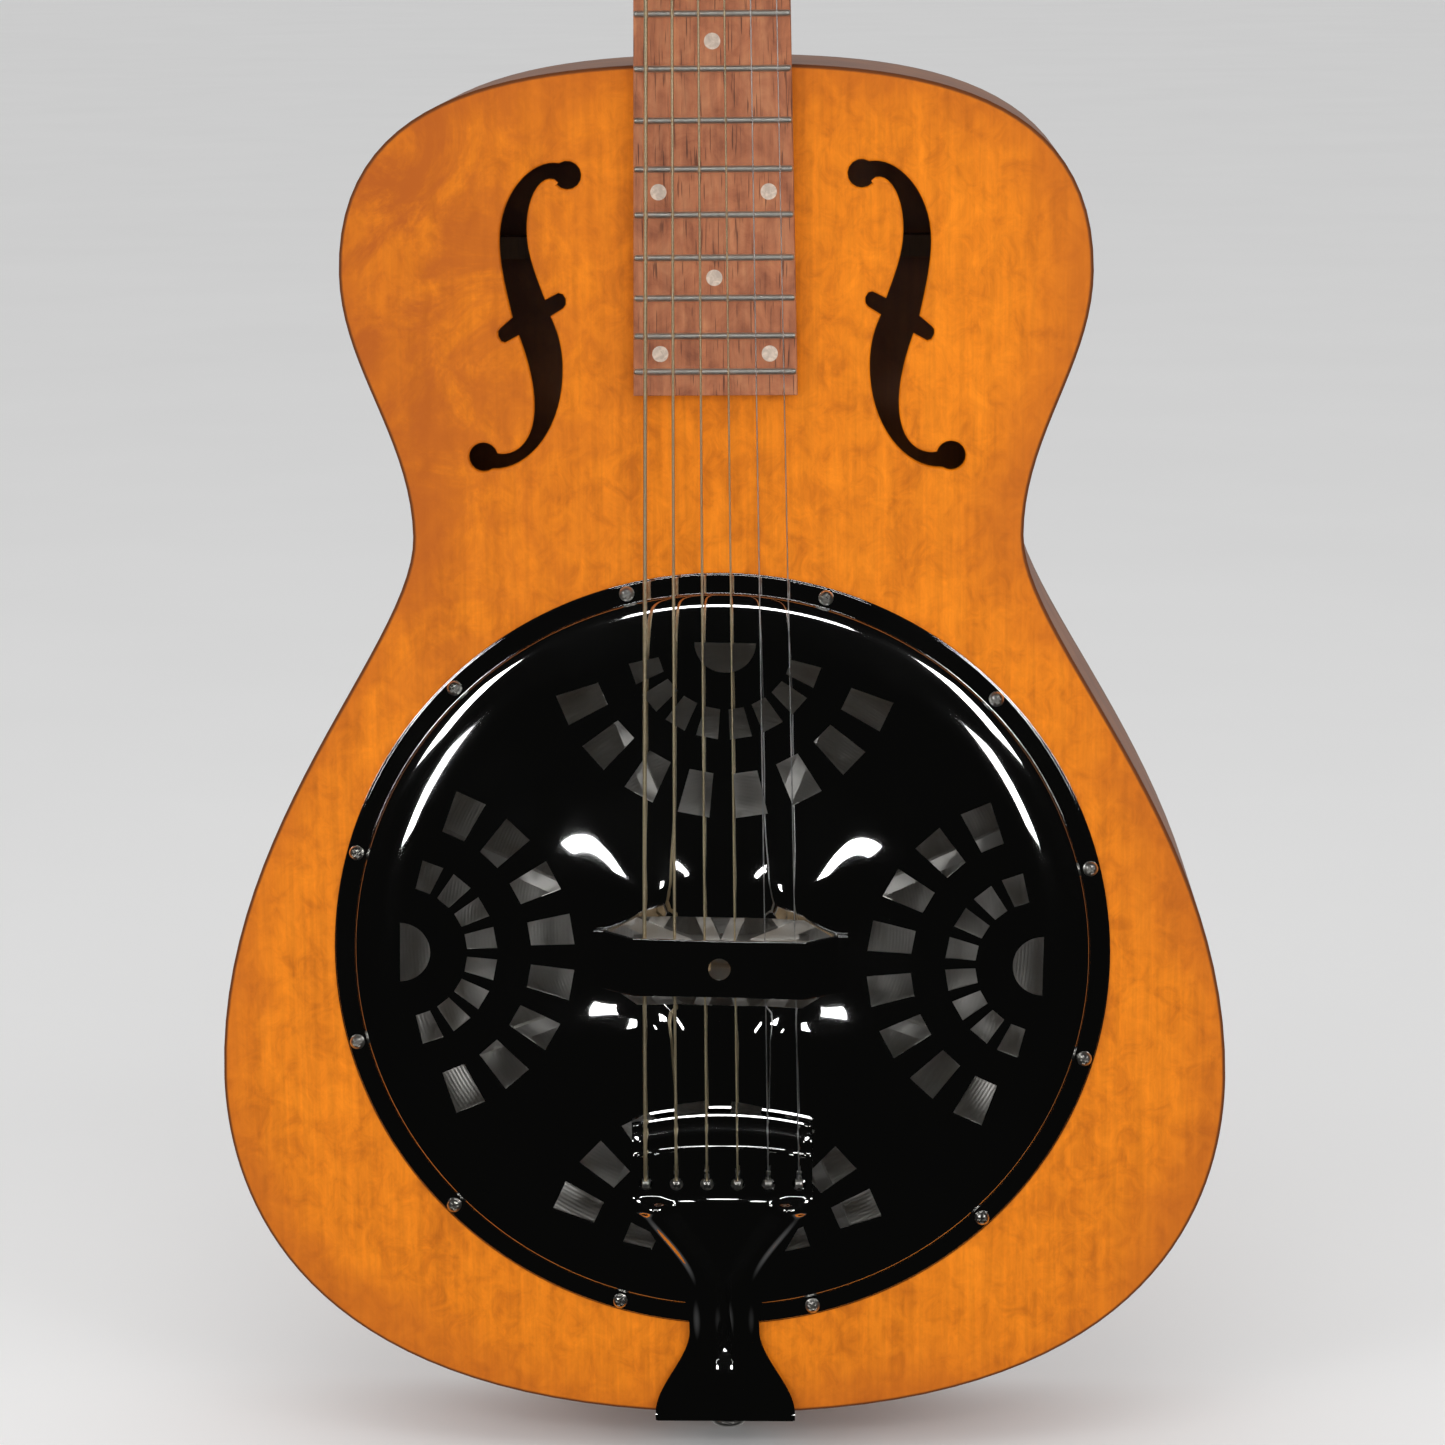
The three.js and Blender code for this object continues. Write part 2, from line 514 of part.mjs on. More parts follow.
function makeResonator() {
  const rim = CONE_RIM_FRONT;
  const sheet = CONE_SHEET;
  const valley = rim + CONE_DEPTH;
  const front = [
    [CONE_RADIUS, rim],
    [CONE_RADIUS - CONE_RIM_WIDTH, rim],
    [CONE_RING_RADIUS, rim + 0.5 * CONE_DEPTH],
    [CONE_VALLEY_OUTER, valley - 2],
    [CONE_VALLEY_INNER, valley - 1],
    [CONE_BOSS_RADIUS, CONE_BOSS_FRONT],
    [SCREW_RADIUS + SCREW_FIT + 1, CONE_BOSS_FRONT],
  ];
  const back = front.map(([r, y], i) => [i > 1 && i < 6 ? r - 0.3 : r, y + sheet]).reverse();
  add("cone", turned([...front, ...back, front[0]], 40), "aluminium");

  // Eight cast legs stand on the cone's rim and carry the hub that holds the saddle.
  const footFront = rim - GLUE - 4;
  const footBack = rim - GLUE;
  const legSection = ribbon(
    [
      [0, HUB_FRONT + 2],
      [SPIDER_RING + 4, HUB_FRONT + 2],
      [CONE_RADIUS - SPIDER_FOOT_LENGTH, footFront],
      [CONE_RADIUS - 1, footFront],
    ],
    4,
  );
  const legs = Array.from({ length: 8 }, (_, i) => {
    const options = { depth: 5, bevelEnabled: false };
    const geometry = new THREE.ExtrudeGeometry(legSection, options).translate(0, 0, -2.5);
    return solid(geometry.rotateY(((i + 0.5) * Math.PI) / 4));
  });
  const wide = CONE_RADIUS + 60;
  const feet = box(-wide, wide, HUB_FRONT, footBack, -wide, wide);
  const hub = box(-HUB_HALF_WIDTH, HUB_HALF_WIDTH, HUB_FRONT, HUB_BACK, -HUB_HALF_HEIGHT, HUB_HALF_HEIGHT);
  const ringFront = HUB_FRONT + 3;
  const ringInner = SPIDER_RING - SPIDER_RING_WIDTH;
  const ring = turned(
    [
      [SPIDER_RING, ringFront],
      [SPIDER_RING, HUB_BACK],
      [ringInner, HUB_BACK],
      [ringInner, ringFront],
      [SPIDER_RING, ringFront],
    ],
    16,
  );
  const slotBack = HUB_FRONT + SLOT_DEPTH;
  const past = HUB_HALF_WIDTH + 8;
  const slot = box(-past, past, HUB_FRONT - 5, slotBack, -SLOT_HALF_HEIGHT, SLOT_HALF_HEIGHT);
  const screwHole = postAlongY(SCREW_RADIUS + SCREW_FIT, HUB_FRONT - 5, HUB_BACK + 10, 0, 0, 10);
  const spider = join(hub, ring, ...legs).intersect(feet);
  add("spider", cut(spider, slot, screwHole), "aluminium");

  // Two saddle halves stand in the hub's slot, with the tension screw's head between them.
  const saddle = (from, to) => {
    const seat = slotBack - GLUE;
    const crown = TOP_FRONT - SADDLE_HEIGHT;
    const tall = SLOT_HALF_HEIGHT - GLUE;
    const side = [[tall, seat], [tall, crown + 3], [0.8, crown]];
    const section = shapeOf([...side, ...side.map(([z, y]) => [-z, y]).reverse()]);
    return barAcross(section, (to - from) / 2).translate([(from + to) / 2, 0, 0]);
  };
  add("saddle_bass", saddle(-SADDLE_END, -SADDLE_GAP), "plainWood");
  add("saddle_treble", saddle(SADDLE_GAP, SADDLE_END), "plainWood");

  const headBack = slotBack - GLUE;
  const tensionScrew = join(
    postAlongY(SCREW_RADIUS, headBack - 1, CONE_BOSS_FRONT + sheet + 3, 0, 0, 10),
    postAlongY(SCREW_HEAD, headBack - 2, headBack, 0, 0, 12),
  );
  add("tension_screw", tensionScrew, "steel");
}

// ---- Cover ----
// Profile of the cover's front face: flat flange, rounded bead, then a low dome.
const COVER_PROFILE = [
  [COVER_RADIUS, FLANGE_HEIGHT],
  [CONE_RADIUS - 1, FLANGE_HEIGHT],
  [CONE_RADIUS - 3, 3.6],
  [CONE_RADIUS - 7, 5],
  [CONE_RADIUS - 38, 7],
  [MOUTH_HALF_WIDTH + 13, COVER_HEIGHT - 0.8],
  [MOUTH_HALF_WIDTH - 2, COVER_HEIGHT],
];

// Radius, half angle and half height of the windows in each fan's two arcs.
const FAN_ROWS = [
  { radius: 56, halfHeight: 8, halfAngle: 5.2, angles: [9.5, 28.5, 47.5, 66] },
  { radius: 30, halfHeight: 5.5, halfAngle: 6.5, angles: [10, 30, 50, 70] },
];
const HALF_MOON_RADIUS = 11;

// One fan of windows about its own centre; its arcs bulge towards the cover's centre.
function fanWindows() {
  const front = TOP_FRONT - COVER_HEIGHT - 2;
  const windows = [];
  for (const row of FAN_ROWS) {
    for (const angle of row.angles) {
      for (const side of [-1, 1]) {
        const corner = (radius, aside) => {
          const at = THREE.MathUtils.degToRad(side * angle + aside);
          return [radius * Math.sin(at), FAN_CENTRE - radius * Math.cos(at)];
        };
        const inner = row.radius - row.halfHeight;
        const outer = row.radius + row.halfHeight;
        const spread = row.halfAngle;
        const innerEdge = [corner(inner, -spread), corner(inner, spread)];
        const outerEdge = [corner(outer, spread), corner(outer, -spread)];
        windows.push(slab(shapeOf([...innerEdge, ...outerEdge]), front, TOP_FRONT));
      }
    }
  }
  const moon = new THREE.Shape();
  moon.absarc(0, FAN_CENTRE, HALF_MOON_RADIUS, Math.PI, 2 * Math.PI, false);
  windows.push(slab(moon, front, TOP_FRONT, 8));
  return windows;
}

function makeCover() {
  const front = COVER_PROFILE.map(([r, height]) => [r, TOP_FRONT - height]);
  const back = COVER_PROFILE.map(([r, height], i) => {
    const edge = i === 0 || i === COVER_PROFILE.length - 1;
    return [edge ? r : r - 0.4, TOP_FRONT - height + COVER_SHEET];
  });
  const crown = [[0, TOP_FRONT - COVER_HEIGHT]];
  const under = [[0, TOP_FRONT - COVER_HEIGHT + COVER_SHEET]];
  const sheet = turned([...under, ...back.reverse(), ...front, ...crown], 48);
  const windows = [0, 1, 2, 3].flatMap((quarter) =>
    fanWindows().map((window) => window.rotate([0, quarter * 90, 0])),
  );
  const w = MOUTH_HALF_WIDTH;
  const h = MOUTH_HALF_HEIGHT;
  const innerW = w - MOUTH_CORNER[0];
  const innerH = h - MOUTH_CORNER[1];
  const upperEdge = [[-w, innerH], [-innerW, h], [innerW, h], [w, innerH]];
  const lowerEdge = [[w, -innerH], [innerW, -h], [-innerW, -h], [-w, -innerH]];
  const mouth = shapeOf([...upperEdge, ...lowerEdge]);
  const screwHoles = Array.from({ length: COVER_SCREWS }, (_, i) => {
    const x = SCREW_CIRCLE * Math.sin(coverScrewAngle(i));
    const z = SCREW_CIRCLE * Math.cos(coverScrewAngle(i));
    return postAlongY(SCREW_RADIUS + SCREW_FIT, TOP_FRONT - 5, TOP_FRONT + 1, x, z, 6);
  });
  const mouthCut = slab(mouth, TOP_FRONT - COVER_HEIGHT - 2, TOP_FRONT);
  add("coverplate", cut(sheet, ...windows, mouthCut, ...screwHoles), "chrome", cover);

  for (let i = 0; i < COVER_SCREWS; i += 1) {
    const headBack = TOP_FRONT - FLANGE_HEIGHT - FIT;
    const screw = turned(
      [
        [0, headBack - 1.7],
        [SCREW_HEAD * 0.7, headBack - 1.4],
        [SCREW_HEAD, headBack - 0.4],
        [SCREW_HEAD, headBack],
        [SCREW_RADIUS, headBack],
        [SCREW_RADIUS, TOP_FRONT + SCREW_LENGTH - 3],
        [0, TOP_FRONT + SCREW_LENGTH],
      ],
      8,
    );
    const number = String(i + 1).padStart(2, "0");
    const mesh = add(`coverplate_screw_${number}`, screw, "nickel", cover);
    mesh.position.x = SCREW_CIRCLE * Math.sin(coverScrewAngle(i));
    mesh.position.z = SCREW_CIRCLE * Math.cos(coverScrewAngle(i));
  }

  // The hand rest is a sheet arch over the saddle, with a round hole over the tension screw.
  const foot = TOP_FRONT - COVER_HEIGHT - FIT - REST_SHEET;
  const crest = TOP_FRONT - REST_HEIGHT;
  const arch = ribbon(
    [
      [-REST_HALF_WIDTH, foot],
      [-MOUTH_HALF_WIDTH - 0.5, foot],
      [-REST_FLAT_HALF_WIDTH, crest],
      [REST_FLAT_HALF_WIDTH, crest],
      [MOUTH_HALF_WIDTH + 0.5, foot],
      [REST_HALF_WIDTH, foot],
    ],
    REST_SHEET,
  );
  const options = { depth: REST_LENGTH, bevelEnabled: false };
  const strap = solid(new THREE.ExtrudeGeometry(arch, options).translate(0, 0, -REST_LENGTH / 2));
  const hole = postAlongY(REST_HOLE_RADIUS, crest - 2, crest + 4, 0, 0, 16);
  add("hand_rest", cut(strap, hole), "chrome", cover);
}

// ---- Tailpiece and strap button ----
const stringX = (i, spread) => (i / 5 - 0.5) * spread;

function makeTailpiece() {
  const y = (height) => TOP_FRONT - height;
  const foldFront = TAIL_DROP + FIT + TAIL_SHEET;
  const section = ribbon(
    [
      [-TAIL_BAR_TOP, y(TAIL_BAR_HEIGHT)],
      [-TAIL_BAR_BOTTOM, y(TAIL_BAR_HEIGHT)],
      [-COVER_RADIUS + 12, y(8.6)],
      [-COVER_RADIUS - 7, y(TAIL_FOOT_HEIGHT + 1)],
      [-TAIL_DROP + 6, y(TAIL_FOOT_HEIGHT)],
      [-foldFront, y(TAIL_FOOT_HEIGHT)],
      [-foldFront, y(-TAIL_FOLD)],
    ],
    -TAIL_SHEET,
  );
  const strap = barAcross(section, TAIL_BAR_HALF_WIDTH);
  const bar = TAIL_BAR_HALF_WIDTH;
  const neck = TAIL_NECK_HALF_WIDTH;
  const foot = TAIL_FOOT_HALF_WIDTH;
  const plan = new THREE.Shape();
  plan.moveTo(-bar, -TAIL_BAR_TOP - TAIL_BAR_BOW);
  plan.lineTo(-bar, -TAIL_BAR_BOTTOM + 4);
  const [high, low] = [-TAIL_BAR_BOTTOM - 12, -TAIL_BAR_BOTTOM - 25];
  const narrowest = -COVER_RADIUS + 2;
  const flare = [-COVER_RADIUS - 12, -COVER_RADIUS - 14];
  plan.bezierCurveTo(-neck - 4, high, -neck, low, -neck, narrowest);
  plan.bezierCurveTo(-neck, flare[0], -foot, flare[1], -foot, -foldFront - 1);
  plan.lineTo(foot, -foldFront - 1);
  plan.bezierCurveTo(foot, flare[1], neck, flare[0], neck, narrowest);
  plan.bezierCurveTo(neck, low, neck + 4, high, bar, -TAIL_BAR_BOTTOM + 4);
  plan.lineTo(bar, -TAIL_BAR_TOP - TAIL_BAR_BOW);
  plan.quadraticCurveTo(0, -TAIL_BAR_TOP + TAIL_BAR_BOW, -bar, -TAIL_BAR_TOP - TAIL_BAR_BOW);
  const reach = [y(TAIL_BAR_HEIGHT + 5), y(-TAIL_FOLD - 5)];
  const slots = STRING_GAUGES.map((gauge, i) => {
    const x = stringX(i, TAIL_SPREAD);
    const ballCorner = Math.hypot(BALL_RADIUS, BALL_HALF_LENGTH);
    const hole = postAlongY(ballCorner + FIT, reach[0], y(5), x, -BALL_DROP, 10);
    const groove = box(x - 1.2, x + 1.2, reach[0], y(5), -BALL_DROP, -BALL_DROP + 7);
    return join(hole, groove);
  });
  const pinY = TOP_FRONT + ENDPIN_DEPTH;
  const pinHole = postAlongZ(ENDPIN_SHANK + FIT, -foldFront - 5, -TAIL_DROP + 2, 0, pinY, 12);
  const plate = strap.intersect(slab(plan, ...reach, 6));
  add("tailpiece", cut(plate, ...slots, pinHole), "chrome");

  // The strap button's shank goes through the tailpiece, the seam of the sides and the block.
  const seat = -foldFront - FIT;
  const pin = turned(
    [
      [0, seat - 14],
      [5, seat - 14],
      [7, seat - 11.5],
      [3.8, seat - 7],
      [5.5, seat],
      [ENDPIN_SHANK, seat],
      [ENDPIN_SHANK, -WELL_OUTER - 8],
      [0, -WELL_OUTER - 6],
    ],
    16,
  );
  const mesh = add("strap_button", pin.rotate([90, 0, 0]), "nickel");
  mesh.position.y = TOP_FRONT + ENDPIN_DEPTH;
}

// ---- Neck ----
const BOARD_BACK = TOP_FRONT - GLUE;
const BOARD_FRONT = BOARD_BACK - BOARD_THICKNESS;
const HEEL_END = CONE_Z + TOP_EDGE + GLUE;
const halfWidthAt = (z) => NUT_HALF_WIDTH + BOARD_TAPER * (NUT_Z - z);

function headOutline() {
  const shape = new THREE.Shape();
  const neckHalf = NUT_HALF_WIDTH - 0.3;
  shape.moveTo(-neckHalf, -8);
  shape.lineTo(-neckHalf, 2);
  shape.bezierCurveTo(-neckHalf, 12, -HEAD_HALF_WIDTH, 10, -HEAD_HALF_WIDTH, 26);
  shape.lineTo(-HEAD_CROWN_HALF_WIDTH, HEAD_LENGTH - 8);
  shape.bezierCurveTo(-20, HEAD_LENGTH - 4, -12, HEAD_LENGTH, 0, HEAD_LENGTH);
  shape.bezierCurveTo(12, HEAD_LENGTH, 20, HEAD_LENGTH - 4, HEAD_CROWN_HALF_WIDTH, HEAD_LENGTH - 8);
  shape.lineTo(HEAD_HALF_WIDTH, 26);
  shape.bezierCurveTo(HEAD_HALF_WIDTH, 10, neckHalf, 12, neckHalf, 2);
  shape.lineTo(neckHalf, -8);
  return shape;
}

const postPlaces = [-1, 1].flatMap((side) =>
  [0, 1, 2].map((row) => ({ x: side * POST_HALF_SPREAD, z: FIRST_POST + row * POST_SPACING, side })),
);

function makeNeck() {
  const heelStart = HEEL_END + HEEL_LENGTH;
  const stations = [HEAD_START, NUT_Z - 4];
  for (let i = 1; i <= 4; i += 1) {
    stations.push(NUT_Z - 4 + ((heelStart - NUT_Z + 4) * i) / 4);
  }
  for (let i = 1; i <= 7; i += 1) {
    stations.push(heelStart - (HEEL_LENGTH * i) / 7);
  }
  const shaft = loft(stations, 16, (z, angle, reach) => {
    const down = Math.max(0, (heelStart - z) / HEEL_LENGTH);
    const depth = NECK_DEPTH + 0.006 * (NUT_Z - z) + (HEEL_DEPTH - NECK_DEPTH - 2) * down ** 1.5;
    const back = Math.max(0, Math.cos(angle));
    const x = halfWidthAt(z) * Math.sin(angle) * (1 - 0.25 * down * back);
    return [reach * x, TOP_FRONT + (reach ? depth * back ** 0.9 : depth / 2), z];
  });
  const head = slab(headOutline(), 0, HEAD_THICKNESS, 5)
    .rotate([-THREE.MathUtils.radToDeg(HEAD_TILT), 0, 0])
    .translate([0, TOP_FRONT, HEAD_START]);
  const belowNut = box(-60, 60, TOP_FRONT - 10, TOP_FRONT, NUT_Z - 20, HEAD_START + 1);
  const channelHalf = ROD_RADIUS + FIT;
  const rodEnd = heelStart - 4;
  const channelBack = TOP_FRONT + ROD_CHANNEL_DEPTH;
  const rodTop = HEAD_START + 1;
  const channel = box(-channelHalf, channelHalf, TOP_FRONT - 1, channelBack, rodEnd, rodTop);
  const rodY = channelBack - FIT - ROD_RADIUS;
  const pocketHalf = ROD_NUT_RADIUS + FIT;
  const pocketBack = rodY + pocketHalf;
  const pocket = box(-pocketHalf, pocketHalf, TOP_FRONT - 4, pocketBack, rodTop, HEAD_START + 20);
  const boltHoles = NECK_BOLT_DEPTHS.map((depth) =>
    postAlongZ(NECK_BOLT_RADIUS + FIT, HEEL_END - 1, HEEL_END + NECK_BOLT_GRIP + 2, 0, depth, 12),
  );
  const postHoles = postPlaces.map(({ x, z }) =>
    postAlongY(POST_RADIUS + FIT + 0.2, -5, HEAD_THICKNESS + 5, x, z, 10)
      .rotate([-THREE.MathUtils.radToDeg(HEAD_TILT), 0, 0])
      .translate([0, TOP_FRONT, HEAD_START]),
  );
  const holes = [belowNut, channel, pocket, ...boltHoles, ...postHoles];
  add("neck", cut(join(shaft, head), ...holes), "mahogany", guitar);

  const rod = join(
    postAlongZ(ROD_RADIUS, rodEnd + FIT, HEAD_START + 6, 0, rodY, 10),
    postAlongZ(ROD_NUT_RADIUS, HEAD_START + 2, HEAD_START + 8, 0, rodY, 6),
  );
  add("truss_rod", rod, "steel", guitar);

  const coverShape = new THREE.Shape();
  coverShape.moveTo(-12, 1.5);
  coverShape.lineTo(12, 1.5);
  coverShape.bezierCurveTo(12, 14, 4, 20, 0, 30);
  coverShape.bezierCurveTo(-4, 20, -12, 14, -12, 1.5);
  add("truss_rod_cover", slab(coverShape, -FIT - 1.6, -FIT, 6), "black", headstock);

  NECK_BOLT_DEPTHS.forEach((depth, i) => {
    const seat = CONE_Z + TOP_EDGE - SIDE_THICKNESS - NECK_BLOCK_LENGTH - GLUE;
    const bolt = join(
      postAlongZ(NECK_BOLT_RADIUS, seat - 1, HEEL_END + NECK_BOLT_GRIP, 0, depth, 10),
      postAlongZ(NECK_BOLT_RADIUS + 2.5, seat - 5, seat, 0, depth, 6),
      postAlongZ(NECK_BOLT_RADIUS + 5, seat - 1.2, seat, 0, depth, 14),
    );
    add(i === 0 ? "neck_bolt_upper" : "neck_bolt_lower", bolt, "steel", guitar);
  });
}

function makeFretboard() {
  const fretZ = (n) => NUT_Z - SCALE * (1 - 2 ** (-n / 12));
  const boardEnd = fretZ(FRETS) - BOARD_OVERHANG;
  const w0 = halfWidthAt(NUT_Z);
  const w1 = halfWidthAt(boardEnd);
  const boardShape = shapeOf([[-w0, NUT_Z], [w0, NUT_Z], [w1, boardEnd], [-w1, boardEnd]]);
  const board = slab(boardShape, BOARD_FRONT, BOARD_BACK);
  const crown = BOARD_FRONT - FRET_HEIGHT;
  const frets = Array.from({ length: FRETS }, (_, i) => {
    const z = fretZ(i + 1);
    const half = FRET_WIDTH / 2;
    const side = [[half, BOARD_FRONT + 0.5], [half, BOARD_FRONT - 0.3], [half / 2, crown]];
    const lower = side.map(([aside, y]) => [z - aside, y]);
    const upper = side.map(([aside, y]) => [z + aside, y]).reverse();
    return barAcross(shapeOf([...lower, ...upper]), halfWidthAt(z) - 0.2);
  });
  add("fretboard", join(board, ...frets), "rosewood", guitar);

  const nutFront = BOARD_FRONT - NUT_HEIGHT;
  const nutLow = NUT_Z + GLUE;
  const nutHigh = NUT_Z + NUT_THICKNESS;
  const nutBottom = [[nutLow, BOARD_BACK], [nutLow, nutFront]];
  const nutTop = [[nutHigh, nutFront + 1], [nutHigh, BOARD_BACK]];
  add("nut", barAcross(shapeOf([...nutBottom, ...nutTop]), NUT_HALF_WIDTH), "bone", guitar);
}

// ---- Tuners ----
const WORM_Y = HEAD_THICKNESS + FIT + TUNER_PLATE + FIT + WORM_MEAN + WORM_THREAD;
const WORM_DISTANCE = GEAR_RADIUS + WORM_MEAN - WORM_THREAD + FIT;
const WORM_LEAD = (2 * Math.PI * WORM_PITCH_RADIUS) / GEAR_TEETH;
const EAR_OFFSET = WORM_LENGTH / 2 + FIT + 0.7;
const EAR_THICKNESS = 1.2;
const KEY_INNER = HEAD_HALF_WIDTH + 2.5;

// One tooth as radius and share of the pitch either side of its middle.
const TOOTH = [[GEAR_ROOT, -0.3], [GEAR_RADIUS, -0.14], [GEAR_RADIUS, 0.14], [GEAR_ROOT, 0.3]];

function gearWheel() {
  const points = [];
  const pitch = (2 * Math.PI) / GEAR_TEETH;
  for (let i = 0; i < GEAR_TEETH; i += 1) {
    const middle = Math.PI / 2 + i * pitch;
    for (const [radius, offset] of TOOTH) {
      const angle = middle + offset * pitch;
      points.push([radius * Math.cos(angle), radius * Math.sin(angle)]);
    }
  }
  return slab(shapeOf(points), WORM_Y - GEAR_THICKNESS / 2, WORM_Y + GEAR_THICKNESS / 2);
}

// A single thread round the shaft, as a wave in the radius that turns with the angle.
function worm() {
  const rows = 14;
  const stations = Array.from({ length: rows + 1 }, (_, i) => (i / rows - 0.5) * WORM_LENGTH);
  return loft(stations, 8, (x, angle, reach) => {
    const phase = (2 * Math.PI * x) / WORM_LEAD - angle;
    const radius = reach * (WORM_MEAN - WORM_THREAD * Math.cos(phase));
    return [x, radius * Math.sin(angle), -radius * Math.cos(angle)];
  });
}

function makeTuners() {
  const plateFront = HEAD_THICKNESS + FIT;
  const plateBack = plateFront + TUNER_PLATE;
  for (const side of [-1, 1]) {
    const inner = side * (POST_HALF_SPREAD - 8);
    const outer = side * (POST_HALF_SPREAD + 10);
    const [left, right] = side < 0 ? [outer, inner] : [inner, outer];
    const top = FIRST_POST + 2 * POST_SPACING + 18;
    const plate = box(left, right, plateFront, plateBack, FIRST_POST - 12, top);
    const ears = [];
    const holes = [];
    for (const { x, z } of postPlaces.filter((place) => place.side === side)) {
      holes.push(postAlongY(POST_RADIUS + FIT + 0.2, plateFront - 1, plateBack + 1, x, z, 8));
      const wormZ = z + WORM_DISTANCE;
      for (const end of [-1, 1]) {
        const middle = x + end * EAR_OFFSET;
        const half = EAR_THICKNESS / 2;
        const [low, high] = [wormZ - 3, wormZ + 3];
        ears.push(box(middle - half, middle + half, plateBack - 0.5, WORM_Y + 3, low, high));
      }
      holes.push(postAlongX(SHAFT_RADIUS + FIT, x - 8, x + 8, WORM_Y, wormZ, 8));
    }
    const name = side < 0 ? "tuner_plate_bass" : "tuner_plate_treble";
    add(name, cut(join(plate, ...ears), ...holes), "nickel", headstock);
  }
  postPlaces.forEach(({ x, z, side }, i) => {
    const number = i + 1;
    const post = join(
      postAlongY(POST_RADIUS, -POST_PROUD, WORM_Y, 0, 0, 10),
      gearWheel(),
      postAlongY(2.6, WORM_Y, WORM_Y + GEAR_THICKNESS / 2 + 1.2, 0, 0, 8),
    );
    const postMesh = add(`tuner_post_${number}`, post, "nickel", headstock);
    postMesh.position.set(x, 0, z);

    const inner = -side * (EAR_OFFSET + EAR_THICKNESS / 2 + 1.2);
    const outer = side * (KEY_INNER - POST_HALF_SPREAD + 3);
    const shaft = postAlongX(SHAFT_RADIUS, Math.min(inner, outer), Math.max(inner, outer), 0, 0, 8);
    const button = new THREE.SphereGeometry(1, 10, 6);
    button.rotateZ(Math.PI / 2).scale(KEY_HALF_LENGTH, KEY_HALF_THICKNESS, KEY_HALF_WIDTH);
    button.translate(side * (KEY_INNER - POST_HALF_SPREAD + KEY_HALF_LENGTH), 0, 0);
    const key = join(worm(), shaft, solid(button));
    const keyMesh = add(`tuner_key_${number}`, key, "nickel", headstock);
    keyMesh.position.set(x, WORM_Y, z + WORM_DISTANCE);
  });
}

// ---- Strings ----
// A string's line, whose stations are its corners and the steps of its windings.
class StringLine extends THREE.Curve {
  constructor(corners) {
    super();
    this.corners = corners;
  }

  getPoint(t) {
    const place = t * (this.corners.length - 1);
    const index = Math.min(Math.floor(place), this.corners.length - 2);
    return this.corners[index].clone().lerp(this.corners[index + 1], place - index);
  }

  getPointAt(u) {
    return this.getPoint(u);
  }

  getTangentAt(u) {
    const step = 0.5 / (this.corners.length - 1);
    const before = this.getPoint(Math.max(0, u - step));
    return this.getPoint(Math.min(1, u + step)).sub(before).normalize();
  }
}

// Posts in string order: the bass side is filled from the lowest post up, the treble side down.
const POST_OF_STRING = [0, 1, 2, 5, 4, 3];
const WOUND_STRINGS = 4; // the thickest strings carry a bronze winding
const WINDINGS = 2;
const WINDING_STEPS = 8;

function makeStrings() {
  headstock.updateMatrix();
  STRING_GAUGES.forEach((gauge, i) => {
    const radius = gauge / 2;
    const { x: postX, z: postZ, side } = postPlaces[POST_OF_STRING[i]];
    const coil = POST_RADIUS + FIT + radius;
    const saddleY = TOP_FRONT - SADDLE_HEIGHT - STRING_REST - radius;
    const nutY = BOARD_FRONT - NUT_HEIGHT - STRING_REST - radius;
    const ballY = TOP_FRONT - TAIL_BAR_HEIGHT + TAIL_SHEET / 2;
    const corners = [
      new THREE.Vector3(stringX(i, TAIL_SPREAD), ballY, CONE_Z - BALL_DROP),
      new THREE.Vector3(stringX(i, TAIL_SPREAD), ballY - 2.4, CONE_Z - BALL_DROP + 5),
      new THREE.Vector3(stringX(i, SADDLE_SPREAD), saddleY, CONE_Z),
      new THREE.Vector3(stringX(i, NUT_SPREAD), nutY, NUT_Z + 1),
    ];
    const pitch = gauge + FIT;
    for (let step = 0; step <= WINDINGS * WINDING_STEPS; step += 1) {
      const turn = (2 * Math.PI * step) / WINDING_STEPS;
      const around = new THREE.Vector3(-side * coil * Math.cos(turn), 0, coil * Math.sin(turn));
      around.add(new THREE.Vector3(postX, -12 + (pitch * step) / WINDING_STEPS, postZ));
      corners.push(around.applyMatrix4(headstock.matrix));
    }
    const section = new THREE.Shape();
    section.absarc(0, 0, radius, 0, 2 * Math.PI);
    const options = {
      steps: corners.length - 1,
      curveSegments: 3,
      bevelEnabled: false,
      extrudePath: new StringLine(corners),
    };
    const wire = solid(new THREE.ExtrudeGeometry(section, options));
    const barrel = postAlongX(BALL_RADIUS, -BALL_HALF_LENGTH, BALL_HALF_LENGTH, 0, 0, 8);
    const ball = barrel.translate(corners[0].toArray());
    add(`string_${i + 1}`, join(wire, ball), i < WOUND_STRINGS ? "bronze" : "steel", guitar);
  });
}

makeBody();
makeSoundwell();
makeResonator();
makeCover();
makeTailpiece();
makeNeck();
makeFretboard();
makeTuners();
makeStrings();

export default guitar;
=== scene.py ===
"""Looks of a resonator guitar: stained maple body, chromed cover over a spun cone, rosewood board.

Metres. +X to the treble side, +Y from front to back, +Z up along the neck. Sizes of the guitar's
own pieces are written in millimetres, from the middle line, the wood's front face and the cone's centre.
"""

import math
import random

import bmesh
import bpy
import numpy as np
from mathutils import Matrix, Vector
from mathutils.geometry import tessellate_polygon


